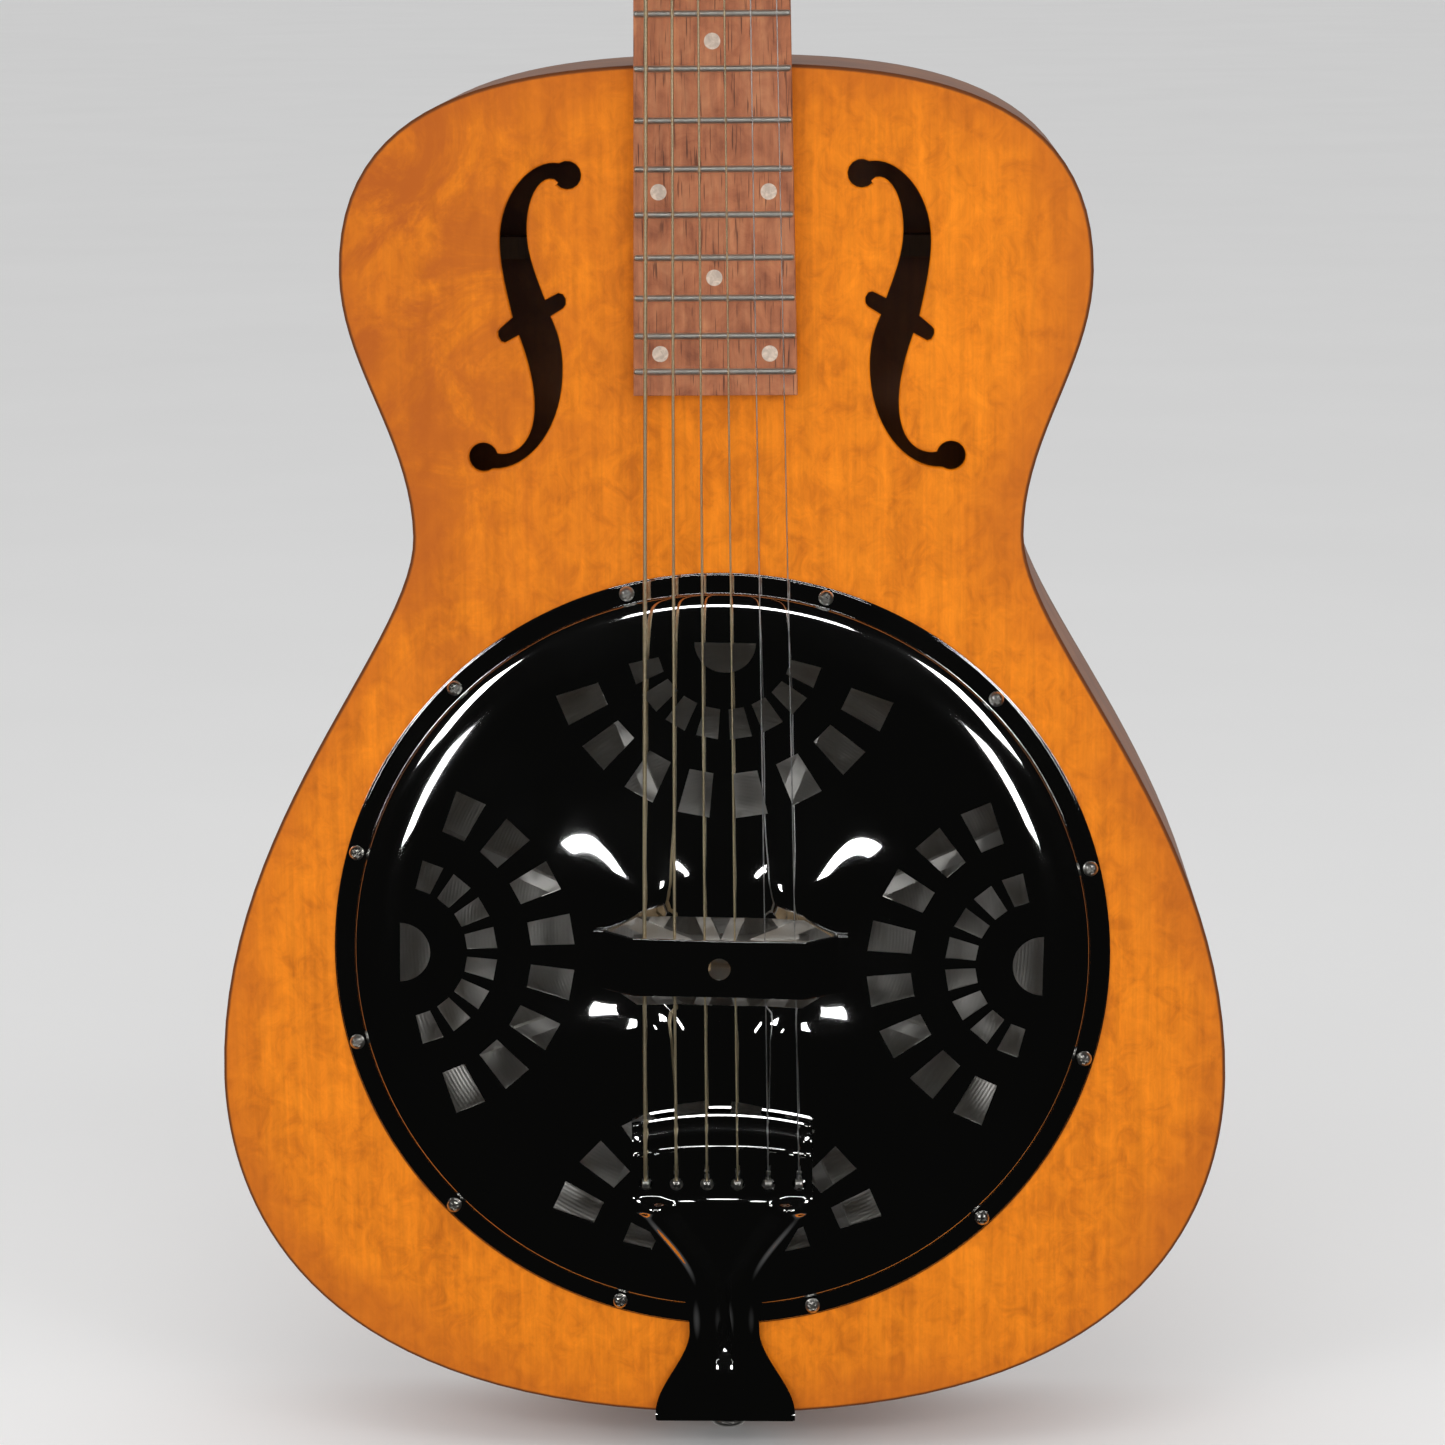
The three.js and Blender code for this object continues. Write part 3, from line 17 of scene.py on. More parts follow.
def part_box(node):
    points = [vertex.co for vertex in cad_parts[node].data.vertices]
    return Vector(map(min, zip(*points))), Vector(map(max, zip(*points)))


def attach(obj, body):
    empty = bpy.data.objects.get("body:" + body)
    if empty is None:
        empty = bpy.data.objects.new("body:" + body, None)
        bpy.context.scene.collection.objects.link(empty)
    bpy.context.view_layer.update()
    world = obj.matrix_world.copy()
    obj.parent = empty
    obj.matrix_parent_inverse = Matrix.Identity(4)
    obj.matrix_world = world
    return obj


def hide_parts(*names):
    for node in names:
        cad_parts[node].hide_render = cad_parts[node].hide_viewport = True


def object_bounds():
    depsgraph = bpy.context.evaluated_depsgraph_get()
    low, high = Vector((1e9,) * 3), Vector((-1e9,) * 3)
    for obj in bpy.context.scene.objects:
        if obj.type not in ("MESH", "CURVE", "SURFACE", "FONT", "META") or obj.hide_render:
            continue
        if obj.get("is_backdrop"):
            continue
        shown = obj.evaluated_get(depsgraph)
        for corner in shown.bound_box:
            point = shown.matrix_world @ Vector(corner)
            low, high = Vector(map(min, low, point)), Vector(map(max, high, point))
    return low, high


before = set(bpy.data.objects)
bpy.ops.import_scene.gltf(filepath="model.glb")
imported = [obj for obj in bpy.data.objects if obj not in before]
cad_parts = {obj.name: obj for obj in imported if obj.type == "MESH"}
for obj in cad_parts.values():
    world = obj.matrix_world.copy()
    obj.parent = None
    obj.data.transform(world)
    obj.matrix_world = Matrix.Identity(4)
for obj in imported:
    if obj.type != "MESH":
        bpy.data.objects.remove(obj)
CAD_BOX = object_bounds()
MM = 0.001

# ---- Places, taken from the construction model ----
TOP_LOW, TOP_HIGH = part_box("top_plate")
BACK_LOW, BACK_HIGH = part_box("back_plate")
CONE_LOW, CONE_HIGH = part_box("cone")
BOARD_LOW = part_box("fretboard")[0]
NUT_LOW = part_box("nut")[0]
BUTTON_LOW, BUTTON_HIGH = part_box("strap_button")
CENTRE_Z = (CONE_LOW.z + CONE_HIGH.z) / 2
WOOD_Y = TOP_LOW.y


def at(x, height, z):
    """A point from millimetres beside the middle line, in front of the wood, above the cone's centre."""
    return Vector((x * MM, WOOD_Y - height * MM, CENTRE_Z + z * MM))


def rise(world_z):
    """Millimetres above the cone's centre."""
    return (world_z - CENTRE_Z) / MM


def depth(world_y):
    """Millimetres behind the wood's front face."""
    return (world_y - WOOD_Y) / MM


# ---- Body sizes ----
TOP_EDGE = rise(TOP_HIGH.z)
TAIL = rise(TOP_LOW.z)
LOWER_HALF = TOP_HIGH.x / MM
LOWER_Z = -46.6
WAIST_HALF = 109.2
WAIST_Z = 154.6
UPPER_HALF = 133.3
UPPER_Z = TOP_EDGE - 73
TOP_THICKNESS = depth(TOP_HIGH.y)
BACK_FRONT = depth(BACK_LOW.y)
BODY_DEPTH = depth(BACK_HIGH.y)
EDGE_ROUNDING = 1.1
SIDE_THICKNESS = 3.0
WELL_RADIUS = 133.6

# ---- Cover sizes ----
COVER_RADIUS = 141.5
COVER_SHEET = 1.0
COVER_TURN = math.radians(1.3)
FLANGE_HEIGHT = 1.1
SHOULDER_RADIUS = 116.0
SHOULDER_FOOT = 134.2
SHOULDER_HEIGHT = 5.8
CROWN_HEIGHT = 9.0
SCREW_CIRCLE = 138.0
SCREW_COUNT = 12
SCREW_HEAD = 2.7
FAN_CENTRE = 117.0
FAN_ROWS = [(56.0, 8.0, 5.2, (9.5, 28.5, 47.5, 66.0)), (30.0, 5.5, 6.5, (10.0, 30.0, 50.0, 70.0))]
HALF_MOON = 11.0
MOUTH = (42.0, 16.5)
MOUTH_CORNER = (12.0, 7.5)

# ---- String sizes, bass to treble ----
STRING_GAUGES = [1.42, 1.07, 0.84, 0.66, 0.46, 0.41]
WOUND_STRINGS = 4
NUT_SPREAD, SADDLE_SPREAD, TAIL_SPREAD = 37.0, 54.6, 56.2
SADDLE_HEIGHT = 14.0
BALL_DROP = 84.0
SCALE_LENGTH = 635.0

# ---- Headstock sizes ----
HEAD_TILT = math.radians(12)
HEAD_LENGTH, HEAD_THICKNESS = 158.0, 15.0
HEAD_HALF, CROWN_HALF = 37.0, 32.0
NUT_HALF = 23.5
HEAD = Matrix.Translation((0, WOOD_Y, -6.7 * MM)) @ Matrix.Rotation(-HEAD_TILT, 4, "X")
POST_ROWS = (36.0, 76.0, 116.0)
POST_SIDE = 22.5
POSTS = [(side * POST_SIDE, row, side) for side in (-1, 1) for row in POST_ROWS]
POST_OF_STRING = (0, 1, 2, 5, 4, 3)
WORM_DEPTH, WORM_OFFSET = 19.3, 8.4
GEAR_TEETH = 14


# ---- Small mesh tools ----
def smoothstep(low, high, value):
    t = min(1.0, max(0.0, (value - low) / (high - low)))
    return t * t * (3 - 2 * t)


def bezier(a, b, c, d, steps=16):
    """Points after a on a cubic curve."""
    points = []
    for i in range(1, steps + 1):
        t = i / steps
        s = 1 - t
        weights = (s**3, 3 * s * s * t, 3 * s * t * t, t**3)
        points.append(tuple(sum(w * p[k] for w, p in zip(weights, (a, b, c, d))) for k in (0, 1)))
    return points


def arc(centre, radius, start, end, steps=12):
    """Points on a circle between two angles in degrees."""
    angles = [math.radians(start + (end - start) * i / steps) for i in range(steps + 1)]
    return [(centre[0] + radius * math.cos(a), centre[1] + radius * math.sin(a)) for a in angles]


def mesh_piece(name, points, faces, smooth=True):
    """A mesh object from points in metres, its faces turned outwards."""
    mesh = bpy.data.meshes.new(name)
    mesh.from_pydata([tuple(p) for p in points], [], faces)
    bm = bmesh.new()
    bm.from_mesh(mesh)
    bmesh.ops.remove_doubles(bm, verts=bm.verts, dist=1e-7)
    bmesh.ops.recalc_face_normals(bm, faces=bm.faces)
    bm.to_mesh(mesh)
    bm.free()
    mesh.shade_smooth() if smooth else mesh.shade_flat()
    piece = bpy.data.objects.new(name, mesh)
    bpy.context.scene.collection.objects.link(piece)
    return piece


def wear(piece, material, body="root", stands_for=()):
    """Gives a piece its finish and its CAD body, and hides the nodes that it stands for."""
    piece.data.materials.clear()
    piece.data.materials.append(material)
    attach(piece, body)
    if stands_for:
        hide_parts(*stands_for)
    return piece


def crisp(piece, angle=35):
    """Smooth shading that keeps the flat faces flat and the hard edges hard."""
    piece.data.set_sharp_from_angle(angle=math.radians(angle))
    modifier = piece.modifiers.new("flat_faces", "WEIGHTED_NORMAL")
    modifier.keep_sharp = True
    return piece


def grid_faces(rows, columns, closed_rows=False, closed_columns=False):
    """Quads over a grid of points stored row by row."""
    faces = []
    for i in range(rows if closed_rows else rows - 1):
        for j in range(columns if closed_columns else columns - 1):
            a, b = i * columns, (i + 1) % rows * columns
            k = (j + 1) % columns
            faces.append((a + j, a + k, b + k, b + j))
    return faces


def rings_piece(name, rings, caps=True):
    """Closed rings of points joined one to the next."""
    sides = len(rings[0])
    points = [p for ring in rings for p in ring]
    faces = grid_faces(len(rings), sides, closed_columns=True)
    if caps:
        faces += [tuple(range(sides)), tuple(len(points) - 1 - i for i in range(sides))]
    return mesh_piece(name, points, faces)


def turned(name, profile, sides, place):
    """A turned piece from (radius, height) pairs; place puts (across, along, up) in the frame."""
    rings = []
    for radius, height in profile:
        ring = []
        for i in range(sides):
            angle = 2 * math.pi * i / sides
            ring.append(place(radius * math.cos(angle), height, radius * math.sin(angle)))
        rings.append(ring)
    return rings_piece(name, rings)


def tube(name, path, radius, sides=12):
    """A round wire along points in metres."""
    rings = []
    side = Vector((1, 0, 0))
    for i, point in enumerate(path):
        along = (path[min(i + 1, len(path) - 1)] - path[max(i - 1, 0)]).normalized()
        side = (side - along * side.dot(along)).normalized()
        up = along.cross(side)
        ring = []
        for k in range(sides):
            angle = 2 * math.pi * k / sides
            ring.append(point + (side * math.cos(angle) + up * math.sin(angle)) * radius)
        rings.append(ring)
    return rings_piece(name, rings)


def inset_loop(loop, distance):
    """A closed counter-clockwise loop moved to its left, by its corners' bisectors."""
    made = []
    for i, point in enumerate(loop):
        before = Vector(point) - Vector(loop[i - 1])
        after = Vector(loop[(i + 1) % len(loop)]) - Vector(point)
        left = (before.normalized() + after.normalized()).normalized()
        left = Vector((-left.y, left.x))
        lean = max(0.5, left.dot(Vector((-before.y, before.x)).normalized()))
        made.append(tuple(Vector(point) + left * distance / lean))
    return made


def area(loop):
    return sum(a[0] * b[1] - b[0] * a[1] for a, b in zip(loop, loop[1:] + loop[:1])) / 2


def plate(name, outer, holes, front, back, rounding, place, cell=None, steps=3):
    """A flat plate with holes and rounded edges, between two heights in front of the wood."""
    loops = [outer if area(outer) > 0 else outer[::-1]]
    loops += [hole if area(hole) < 0 else hole[::-1] for hole in holes]
    levels = []
    for i in range(steps + 1):
        angle = math.pi / 2 * i / steps
        levels.append((rounding * (1 - math.sin(angle)), front - rounding * (1 - math.cos(angle))))
    for i in range(steps + 1):
        angle = math.pi / 2 * (1 - i / steps)
        levels.append((rounding * (1 - math.sin(angle)), back + rounding * (1 - math.cos(angle))))
    points, faces = [], []
    caps = ([], [])
    for loop in loops:
        start = len(points)
        for inset, height in levels:
            points += [place(x, height, z) for x, z in inset_loop(loop, inset)]
        sides = len(loop)
        faces += [
            tuple(start + k for k in face) for face in grid_faces(len(levels), sides, closed_columns=True)
        ]
        caps[0].append([start + i for i in range(sides)])
        caps[1].append([start + (len(levels) - 1) * sides + i for i in range(sides)])
    flat = [[Vector((x, z, 0)) for x, z in inset_loop(loop, rounding)] for loop in loops]
    triangles = tessellate_polygon(flat)
    for cap in caps:
        order = [index for loop in cap for index in loop]
        faces += [tuple(order[i] for i in triangle) for triangle in triangles]
    piece = mesh_piece(name, points, faces)
    if cell:
        cut_into_cells(piece.data, cell)
    return crisp(piece)


def cut_into_cells(mesh, cell):
    """Cuts a mesh by planes across X and Z, so that values stored on its points vary smoothly."""
    bm = bmesh.new()
    bm.from_mesh(mesh)
    for axis in (0, 2):
        values = [v.co[axis] for v in bm.verts]
        place = min(values) + cell * MM
        while place < max(values):
            point, normal = [0, 0, 0], [0, 0, 0]
            point[axis], normal[axis] = place, 1
            geometry = bm.verts[:] + bm.edges[:] + bm.faces[:]
            bmesh.ops.bisect_plane(bm, geom=geometry, plane_co=point, plane_no=normal, dist=1e-6)
            place += cell * MM
    bm.to_mesh(mesh)
    bm.free()


def carve(piece, cutter, operation="DIFFERENCE"):
    """Cuts a closed mesh with another, or joins them, and removes the cutter."""
    modifier = piece.modifiers.new("carve", "BOOLEAN")
    modifier.operation = operation
    modifier.object = cutter
    modifier.solver = "EXACT"
    bpy.context.view_layer.update()
    evaluated = piece.evaluated_get(bpy.context.evaluated_depsgraph_get())
    made = bpy.data.meshes.new_from_object(evaluated)
    piece.modifiers.remove(modifier)
    piece.data = made
    bpy.data.objects.remove(cutter)
    return piece


def joined(name, *pieces):
    """Several mesh objects as one."""
    points, faces = [], []
    for piece in pieces:
        start = len(points)
        points += [v.co.copy() for v in piece.data.vertices]
        faces += [tuple(start + k for k in polygon.vertices) for polygon in piece.data.polygons]
        bpy.data.objects.remove(piece)
    mesh = bpy.data.meshes.new(name)
    mesh.from_pydata([tuple(p) for p in points], [], faces)
    mesh.shade_smooth()
    made = bpy.data.objects.new(name, mesh)
    bpy.context.scene.collection.objects.link(made)
    return made


# ---- Node tools ----
class Nodes:
    """Writes nodes into a tree; an input is a value or another node's output."""

    def __init__(self, tree):
        self.tree = tree

    def add(self, kind, settings=None, **inputs):
        node = self.tree.nodes.new("ShaderNode" + kind)
        for key, value in (settings or {}).items():
            setattr(node, key, value)
        for key, value in inputs.items():
            self.feed(node.inputs[key.replace("_", " ")], value)
        return node

    def feed(self, socket, value):
        if isinstance(value, bpy.types.NodeSocket):
            self.tree.links.new(value, socket)
        else:
            socket.default_value = value

    def mix(self, factor, first, second, blend="MIX"):
        node = self.add("Mix", {"data_type": "RGBA", "blend_type": blend})
        for index, value in ((0, factor), (6, first), (7, second)):
            self.feed(node.inputs[index], value)
        return node.outputs[2]

    def ramp(self, factor, *stops):
        node = self.add("ValToRGB", Fac=factor)
        elements = node.color_ramp.elements
        while len(elements) < len(stops):
            elements.new(0.5)
        for element, (place, color) in zip(elements, stops):
            element.position = place
            element.color = color
        return node.outputs["Color"]

    def spread(self, value, low, high, new_low=0.0, new_high=1.0):
        node = self.add("MapRange", {"interpolation_type": "SMOOTHSTEP"}, Value=value, From_Min=low)
        for key, number in (("From Max", high), ("To Min", new_low), ("To Max", new_high)):
            self.feed(node.inputs[key], number)
        return node.outputs["Result"]

    def math(self, operation, first, second=0.0):
        node = self.add("Math", {"operation": operation})
        self.feed(node.inputs[0], first)
        self.feed(node.inputs[1], second)
        return node.outputs[0]

    def scaled(self, vector, scale):
        node = self.add("VectorMath", {"operation": "MULTIPLY"})
        self.feed(node.inputs[0], vector)
        self.feed(node.inputs[1], scale)
        return node.outputs[0]


def grey(value):
    return (value, value, value, 1)


def new_group(name, inputs, outputs):
    """An empty shader group with its sockets: (name, kind, default) in, (name, kind) out."""
    tree = bpy.data.node_groups.new(name, "ShaderNodeTree")
    for label, kind, default in inputs:
        socket = tree.interface.new_socket(label, in_out="INPUT", socket_type="NodeSocket" + kind)
        if default is not None:
            socket.default_value = default
    for label, kind in outputs:
        tree.interface.new_socket(label, in_out="OUTPUT", socket_type="NodeSocket" + kind)
    nodes = Nodes(tree)
    return tree, nodes, tree.nodes.new("NodeGroupInput").outputs, tree.nodes.new("NodeGroupOutput").inputs


def wood_figure_group():
    """Growth lines, fibres, cloudy stain and open pores of a board whose grain runs along Z."""
    tree, nodes, given, out = new_group(
        "Wood Figure",
        [
            ("Vector", "Vector", None),
            ("Lines", "Float", 40.0),
            ("Fibres", "Float", 600.0),
            ("Clouds", "Float", 30.0),
        ],
        [("Lines", "Float"), ("Fibres", "Float"), ("Clouds", "Float"), ("Pores", "Float")],
    )
    long_lines = nodes.scaled(given["Vector"], (1, 1, 0.12))
    long_fibres = nodes.scaled(given["Vector"], (1, 1, 0.05))
    soft = nodes.scaled(given["Vector"], (1, 1, 0.8))
    lines = nodes.add(
        "TexNoise", Vector=long_lines, Scale=given["Lines"], Detail=3.0, Roughness=0.55, Distortion=0.35
    )
    fibres = nodes.add("TexNoise", Vector=long_fibres, Scale=given["Fibres"], Detail=4.0, Roughness=0.6)
    clouds = nodes.add(
        "TexNoise", Vector=soft, Scale=given["Clouds"], Detail=6.0, Roughness=0.68, Distortion=0.6
    )
    pore_scale = nodes.math("MULTIPLY", given["Fibres"], 1.7)
    pores = nodes.add("TexNoise", Vector=long_fibres, Scale=pore_scale, Detail=1.0, Roughness=0.4)
    nodes.feed(out["Lines"], lines.outputs["Fac"])
    nodes.feed(out["Fibres"], fibres.outputs["Fac"])
    nodes.feed(out["Clouds"], clouds.outputs["Fac"])
    nodes.feed(out["Pores"], nodes.spread(pores.outputs["Fac"], 0.62, 0.72))
    return tree


def handling_group():
    """Finger haze and fine wiping marks on a polished surface."""
    tree, nodes, given, out = new_group(
        "Handling Marks",
        [("Vector", "Vector", None), ("Haze", "Float", 18.0), ("Marks", "Float", 900.0)],
        [("Haze", "Float"), ("Marks", "Float")],
    )
    haze = nodes.add("TexNoise", Vector=given["Vector"], Scale=given["Haze"], Detail=5.0, Roughness=0.6)
    across = nodes.scaled(given["Vector"], (1, 1, 0.08))
    marks = nodes.add("TexNoise", Vector=across, Scale=given["Marks"], Detail=2.0, Roughness=0.5)
    nodes.feed(out["Haze"], nodes.spread(haze.outputs["Fac"], 0.35, 0.75))
    nodes.feed(out["Marks"], marks.outputs["Fac"])
    return tree


WOOD_FIGURE = wood_figure_group()
HANDLING = handling_group()


def new_finish(name, **constants):
    """A material with its Principled shader's constant values set on their own sockets."""
    material = bpy.data.materials.new(name)
    material.use_nodes = True
    nodes = Nodes(material.node_tree)
    shader = material.node_tree.nodes["Principled BSDF"]
    for key, value in constants.items():
        shader.inputs[key.replace("_", " ")].default_value = value
    return material, nodes, shader.inputs


def wood(name, tones, lines, fibres, clouds, gloss, pores=0.0, attribute=None, bump=0.25, **constants):
    """A timber in three tones, dark to light, with fibres, growth lines, clouds and pores."""
    material, nodes, shader = new_finish(name, **constants)
    if attribute:
        vector = nodes.add("Attribute", {"attribute_name": attribute}).outputs["Vector"]
    else:
        vector = nodes.add("TexCoord").outputs["Object"]
    sizes = {"Lines": lines, "Fibres": fibres, "Clouds": clouds}
    figure = nodes.add("Group", {"node_tree": WOOD_FIGURE}, Vector=vector, **sizes)
    dark, middle, light = tones
    mottled = nodes.mix(0.3, figure.outputs["Clouds"], figure.outputs["Lines"])
    color = nodes.ramp(mottled, (0.34, dark), (0.5, middle), (0.66, light))
    fibre_tone = nodes.ramp(figure.outputs["Fibres"], (0.3, grey(0.72)), (0.62, grey(1.0)))
    color = nodes.mix(0.6, color, fibre_tone, "MULTIPLY")
    if pores:
        open_pores = nodes.math("MULTIPLY", figure.outputs["Pores"], pores)
        color = nodes.mix(open_pores, color, tuple(0.35 * c for c in dark[:3]) + (1,))
    roughness = nodes.spread(figure.outputs["Fibres"], 0.25, 0.75, gloss, gloss + 0.14)
    nodes.feed(shader["Roughness"], roughness)
    relief = nodes.add("Bump", Strength=bump, Distance=0.0002, Height=figure.outputs["Fibres"])
    nodes.feed(shader["Normal"], relief.outputs["Normal"])
    nodes.feed(shader["Base Color"], color)
    return material, nodes, shader, color


def shaded_to_the_edge(made, edge_color, line_color, reach=26.0):
    """Darkens a stained plate towards its outline, with a thin dark line on the very edge."""
    material, nodes, shader, color = made
    edge = nodes.add("Attribute", {"attribute_name": "edge"}).outputs["Fac"]
    place = nodes.add("TexCoord").outputs["Object"]
    drift = nodes.add("TexNoise", Vector=place, Scale=11.0, Detail=5.0, Roughness=0.6)
    waver = nodes.spread(drift.outputs["Fac"], 0.25, 0.75, -14.0, 14.0)
    wavering = nodes.math("ADD", edge, waver)
    burst = nodes.spread(wavering, reach, -6.0, 0.0, 0.6)
    color = nodes.mix(burst, color, edge_color)
    sides = nodes.add("SeparateXYZ", Vector=place).outputs
    aside = nodes.spread(sides["X"], 0.0, -0.12)
    above = nodes.spread(sides["Z"], -0.66, -0.4)
    uneven = nodes.add("TexNoise", Vector=place, Scale=24.0, Detail=7.0, Roughness=0.72, Distortion=0.8)
    patches = nodes.spread(uneven.outputs["Fac"], 0.4, 0.6, 0.25, 1.0)
    blotches = nodes.math("MULTIPLY", nodes.math("MULTIPLY", aside, above), patches)
    color = nodes.mix(blotches, color, edge_color)
    line = nodes.spread(edge, 1.6, 0.7)
    nodes.feed(shader["Base Color"], nodes.mix(line, color, line_color))
    return material


def metal(name, color, low, high, bump=0.02, haze=18.0, marks=900.0):
    """A plated or bare metal whose roughness lies between two values."""
    material, nodes, shader = new_finish(name, Base_Color=color, Metallic=1.0)
    vector = nodes.add("TexCoord").outputs["Object"]
    group = nodes.add("Group", {"node_tree": HANDLING}, Vector=vector, Haze=haze, Marks=marks)
    nodes.feed(shader["Roughness"], nodes.spread(group.outputs["Haze"], 0.0, 1.0, low, high))
    tint = nodes.mix(group.outputs["Haze"], color, tuple(0.93 * c for c in color[:3]) + (1,))
    nodes.feed(shader["Base Color"], tint)
    if bump:
        relief = nodes.add("Bump", Strength=bump, Distance=0.0001, Height=group.outputs["Marks"])
        nodes.feed(shader["Normal"], relief.outputs["Normal"])
    return material, nodes, shader


def spun_aluminium():
    """Bare aluminium with the rings that spinning leaves round the cone's centre."""
    material, nodes, shader = metal("spun_aluminium", (0.9, 0.88, 0.84, 1), 0.42, 0.58, bump=0)
    place = nodes.add("TexCoord").outputs["Object"]
    centred = nodes.add("VectorMath", {"operation": "SUBTRACT"})
    nodes.feed(centred.inputs[0], place)
    centred.inputs[1].default_value = (0, 0, CENTRE_Z)
    rings = nodes.add(
        "TexWave",
        {"wave_type": "RINGS", "rings_direction": "Y"},
        Vector=centred.outputs[0],
        Scale=260.0,
        Distortion=1.2,
        Detail=3.0,
    )
    relief = nodes.add("Bump", Strength=0.35, Distance=0.0002, Height=rings.outputs["Fac"])
    nodes.feed(shader["Normal"], relief.outputs["Normal"])
    return material


def wound_bronze():
    """Bronze wire wound round a steel core, in turns across the string, with painted shade in the grooves
    between the turns.
    """
    material, nodes, shader = metal("wound_bronze", (0.86, 0.7, 0.42, 1), 0.42, 0.55, bump=0)
    place = nodes.add("TexCoord").outputs["Object"]
    turns = nodes.add("TexWave", {"bands_direction": "Z"}, Vector=place, Scale=700.0)
    relief = nodes.add("Bump", Strength=0.25, Distance=0.0001, Height=turns.outputs["Fac"])
    nodes.feed(shader["Normal"], relief.outputs["Normal"])
    # Painted shade: the grooves between the turns are coloured darker than the crests.
    groove_shade = nodes.spread(turns.outputs["Fac"], 0.0, 0.5)
    nodes.feed(shader["Base Color"], nodes.mix(groove_shade, (0.7, 0.54, 0.3, 1), (0.95, 0.82, 0.56, 1)))
    return material


def moulded(name, color, deeper, gloss, bump=0.05, scale=180.0, **constants):
    """Bone, plastic or shell, its tone drifting between two colours."""
    material, nodes, shader = new_finish(name, **constants)
    place = nodes.add("TexCoord").outputs["Object"]
    drift = nodes.add("TexNoise", Vector=place, Scale=scale, Detail=4.0, Roughness=0.55, Distortion=0.8)
    nodes.feed(shader["Base Color"], nodes.ramp(drift.outputs["Fac"], (0.35, deeper), (0.65, color)))
    nodes.feed(shader["Roughness"], nodes.spread(drift.outputs["Fac"], 0.2, 0.8, gloss, gloss + 0.12))
    relief = nodes.add("Bump", Strength=bump, Distance=0.0001, Height=drift.outputs["Fac"])
    nodes.feed(shader["Normal"], relief.outputs["Normal"])
    return material


def color(red, green, blue):
    return (red, green, blue, 1)


MAPLE_TOP = shaded_to_the_edge(
    wood(
        "stained_maple_top",
        (color(0.5, 0.125, 0.002), color(0.69, 0.185, 0.003), color(0.82, 0.23, 0.005)),
        lines=90.0, fibres=480.0, clouds=130.0, gloss=0.42, bump=0.1, Specular_IOR_Level=0.18,
    ),
    color(0.4, 0.09, 0.006),
    color(0.13, 0.035, 0.006),
)
MAPLE_BACK = shaded_to_the_edge(
    wood(
        "stained_maple_back",
        (color(0.27, 0.075, 0.014), color(0.37, 0.115, 0.02), color(0.46, 0.15, 0.028)),
        lines=26.0, fibres=380.0, clouds=40.0, gloss=0.34, bump=0.12, Coat_Weight=0.35, Coat_Roughness=0.28,
    ),
    color(0.16, 0.045, 0.012),
    color(0.08, 0.024, 0.008),
)
MAPLE_SIDE = wood(
    "stained_maple_side",
    (color(0.22, 0.065, 0.014), color(0.33, 0.1, 0.02), color(0.42, 0.14, 0.028)),
    lines=30.0, fibres=420.0, clouds=50.0, gloss=0.34, attribute="grain",
    bump=0.12, Coat_Weight=0.3, Coat_Roughness=0.28,
)[0]
# Wood inside the body: its tones are darkened as painted shade, for the shadow that fills the body and shows
# through the f-holes.
INNER_WOOD_DARKENED_FOR_SHADE = wood(
    "plain_wood",
    (color(0.1, 0.05, 0.022), color(0.14, 0.075, 0.034), color(0.18, 0.1, 0.05)),
    lines=120.0, fibres=700.0, clouds=40.0, gloss=0.6, pores=0.3,
)[0]
SADDLE_MAPLE = wood(
    "saddle_maple",
    (color(0.5, 0.33, 0.17), color(0.62, 0.44, 0.24), color(0.7, 0.53, 0.32)),
    lines=200.0, fibres=900.0, clouds=90.0, gloss=0.5,
)[0]
MAHOGANY = wood(
    "neck_mahogany",
    (color(0.13, 0.042, 0.016), color(0.19, 0.062, 0.023), color(0.25, 0.088, 0.033)),
    lines=60.0, fibres=700.0, clouds=30.0, gloss=0.32, pores=0.75, Coat_Weight=0.25, Coat_Roughness=0.3,
)[0]
VENEER = wood(
    "headstock_veneer",
    (color(0.06, 0.024, 0.014), color(0.1, 0.038, 0.021), color(0.15, 0.06, 0.032)),
    lines=160.0, fibres=800.0, clouds=60.0, gloss=0.28, pores=0.6, Coat_Weight=0.4, Coat_Roughness=0.2,
)[0]
ROSEWOOD = wood(
    "rosewood_board",
    (color(0.22, 0.06, 0.022), color(0.38, 0.125, 0.05), color(0.48, 0.19, 0.08)),
    lines=330.0, fibres=900.0, clouds=90.0, gloss=0.55, pores=0.8, bump=0.3,
)[0]
CHROME = metal("polished_chrome", color(0.82, 0.82, 0.82), 0.03, 0.06, bump=0)[0]
NICKEL = metal("nickel_plate", color(0.84, 0.82, 0.77), 0.26, 0.38, marks=1500.0)[0]
FRET_METAL = metal("fret_nickel", color(0.92, 0.88, 0.8), 0.46, 0.58, marks=1500.0)[0]
STEEL = metal("drawn_steel", color(0.8, 0.8, 0.8), 0.3, 0.42, marks=1800.0)[0]
CAST = metal("cast_aluminium", color(0.88, 0.86, 0.82), 0.4, 0.55, bump=0.2, haze=60.0, marks=500.0)[0]
ALUMINIUM = spun_aluminium()
BRONZE = wound_bronze()
BONE = moulded("nut_bone", color(0.82, 0.76, 0.62), color(0.72, 0.65, 0.5), 0.38, scale=260.0)
BLACK = moulded("black_plastic", color(0.018, 0.018, 0.02), color(0.012, 0.012, 0.013), 0.25)
PEARL = moulded(
    "pearl_dot", color(0.62, 0.5, 0.4), color(0.44, 0.36, 0.3), 0.2, scale=420.0, Coat_Weight=0.6
)


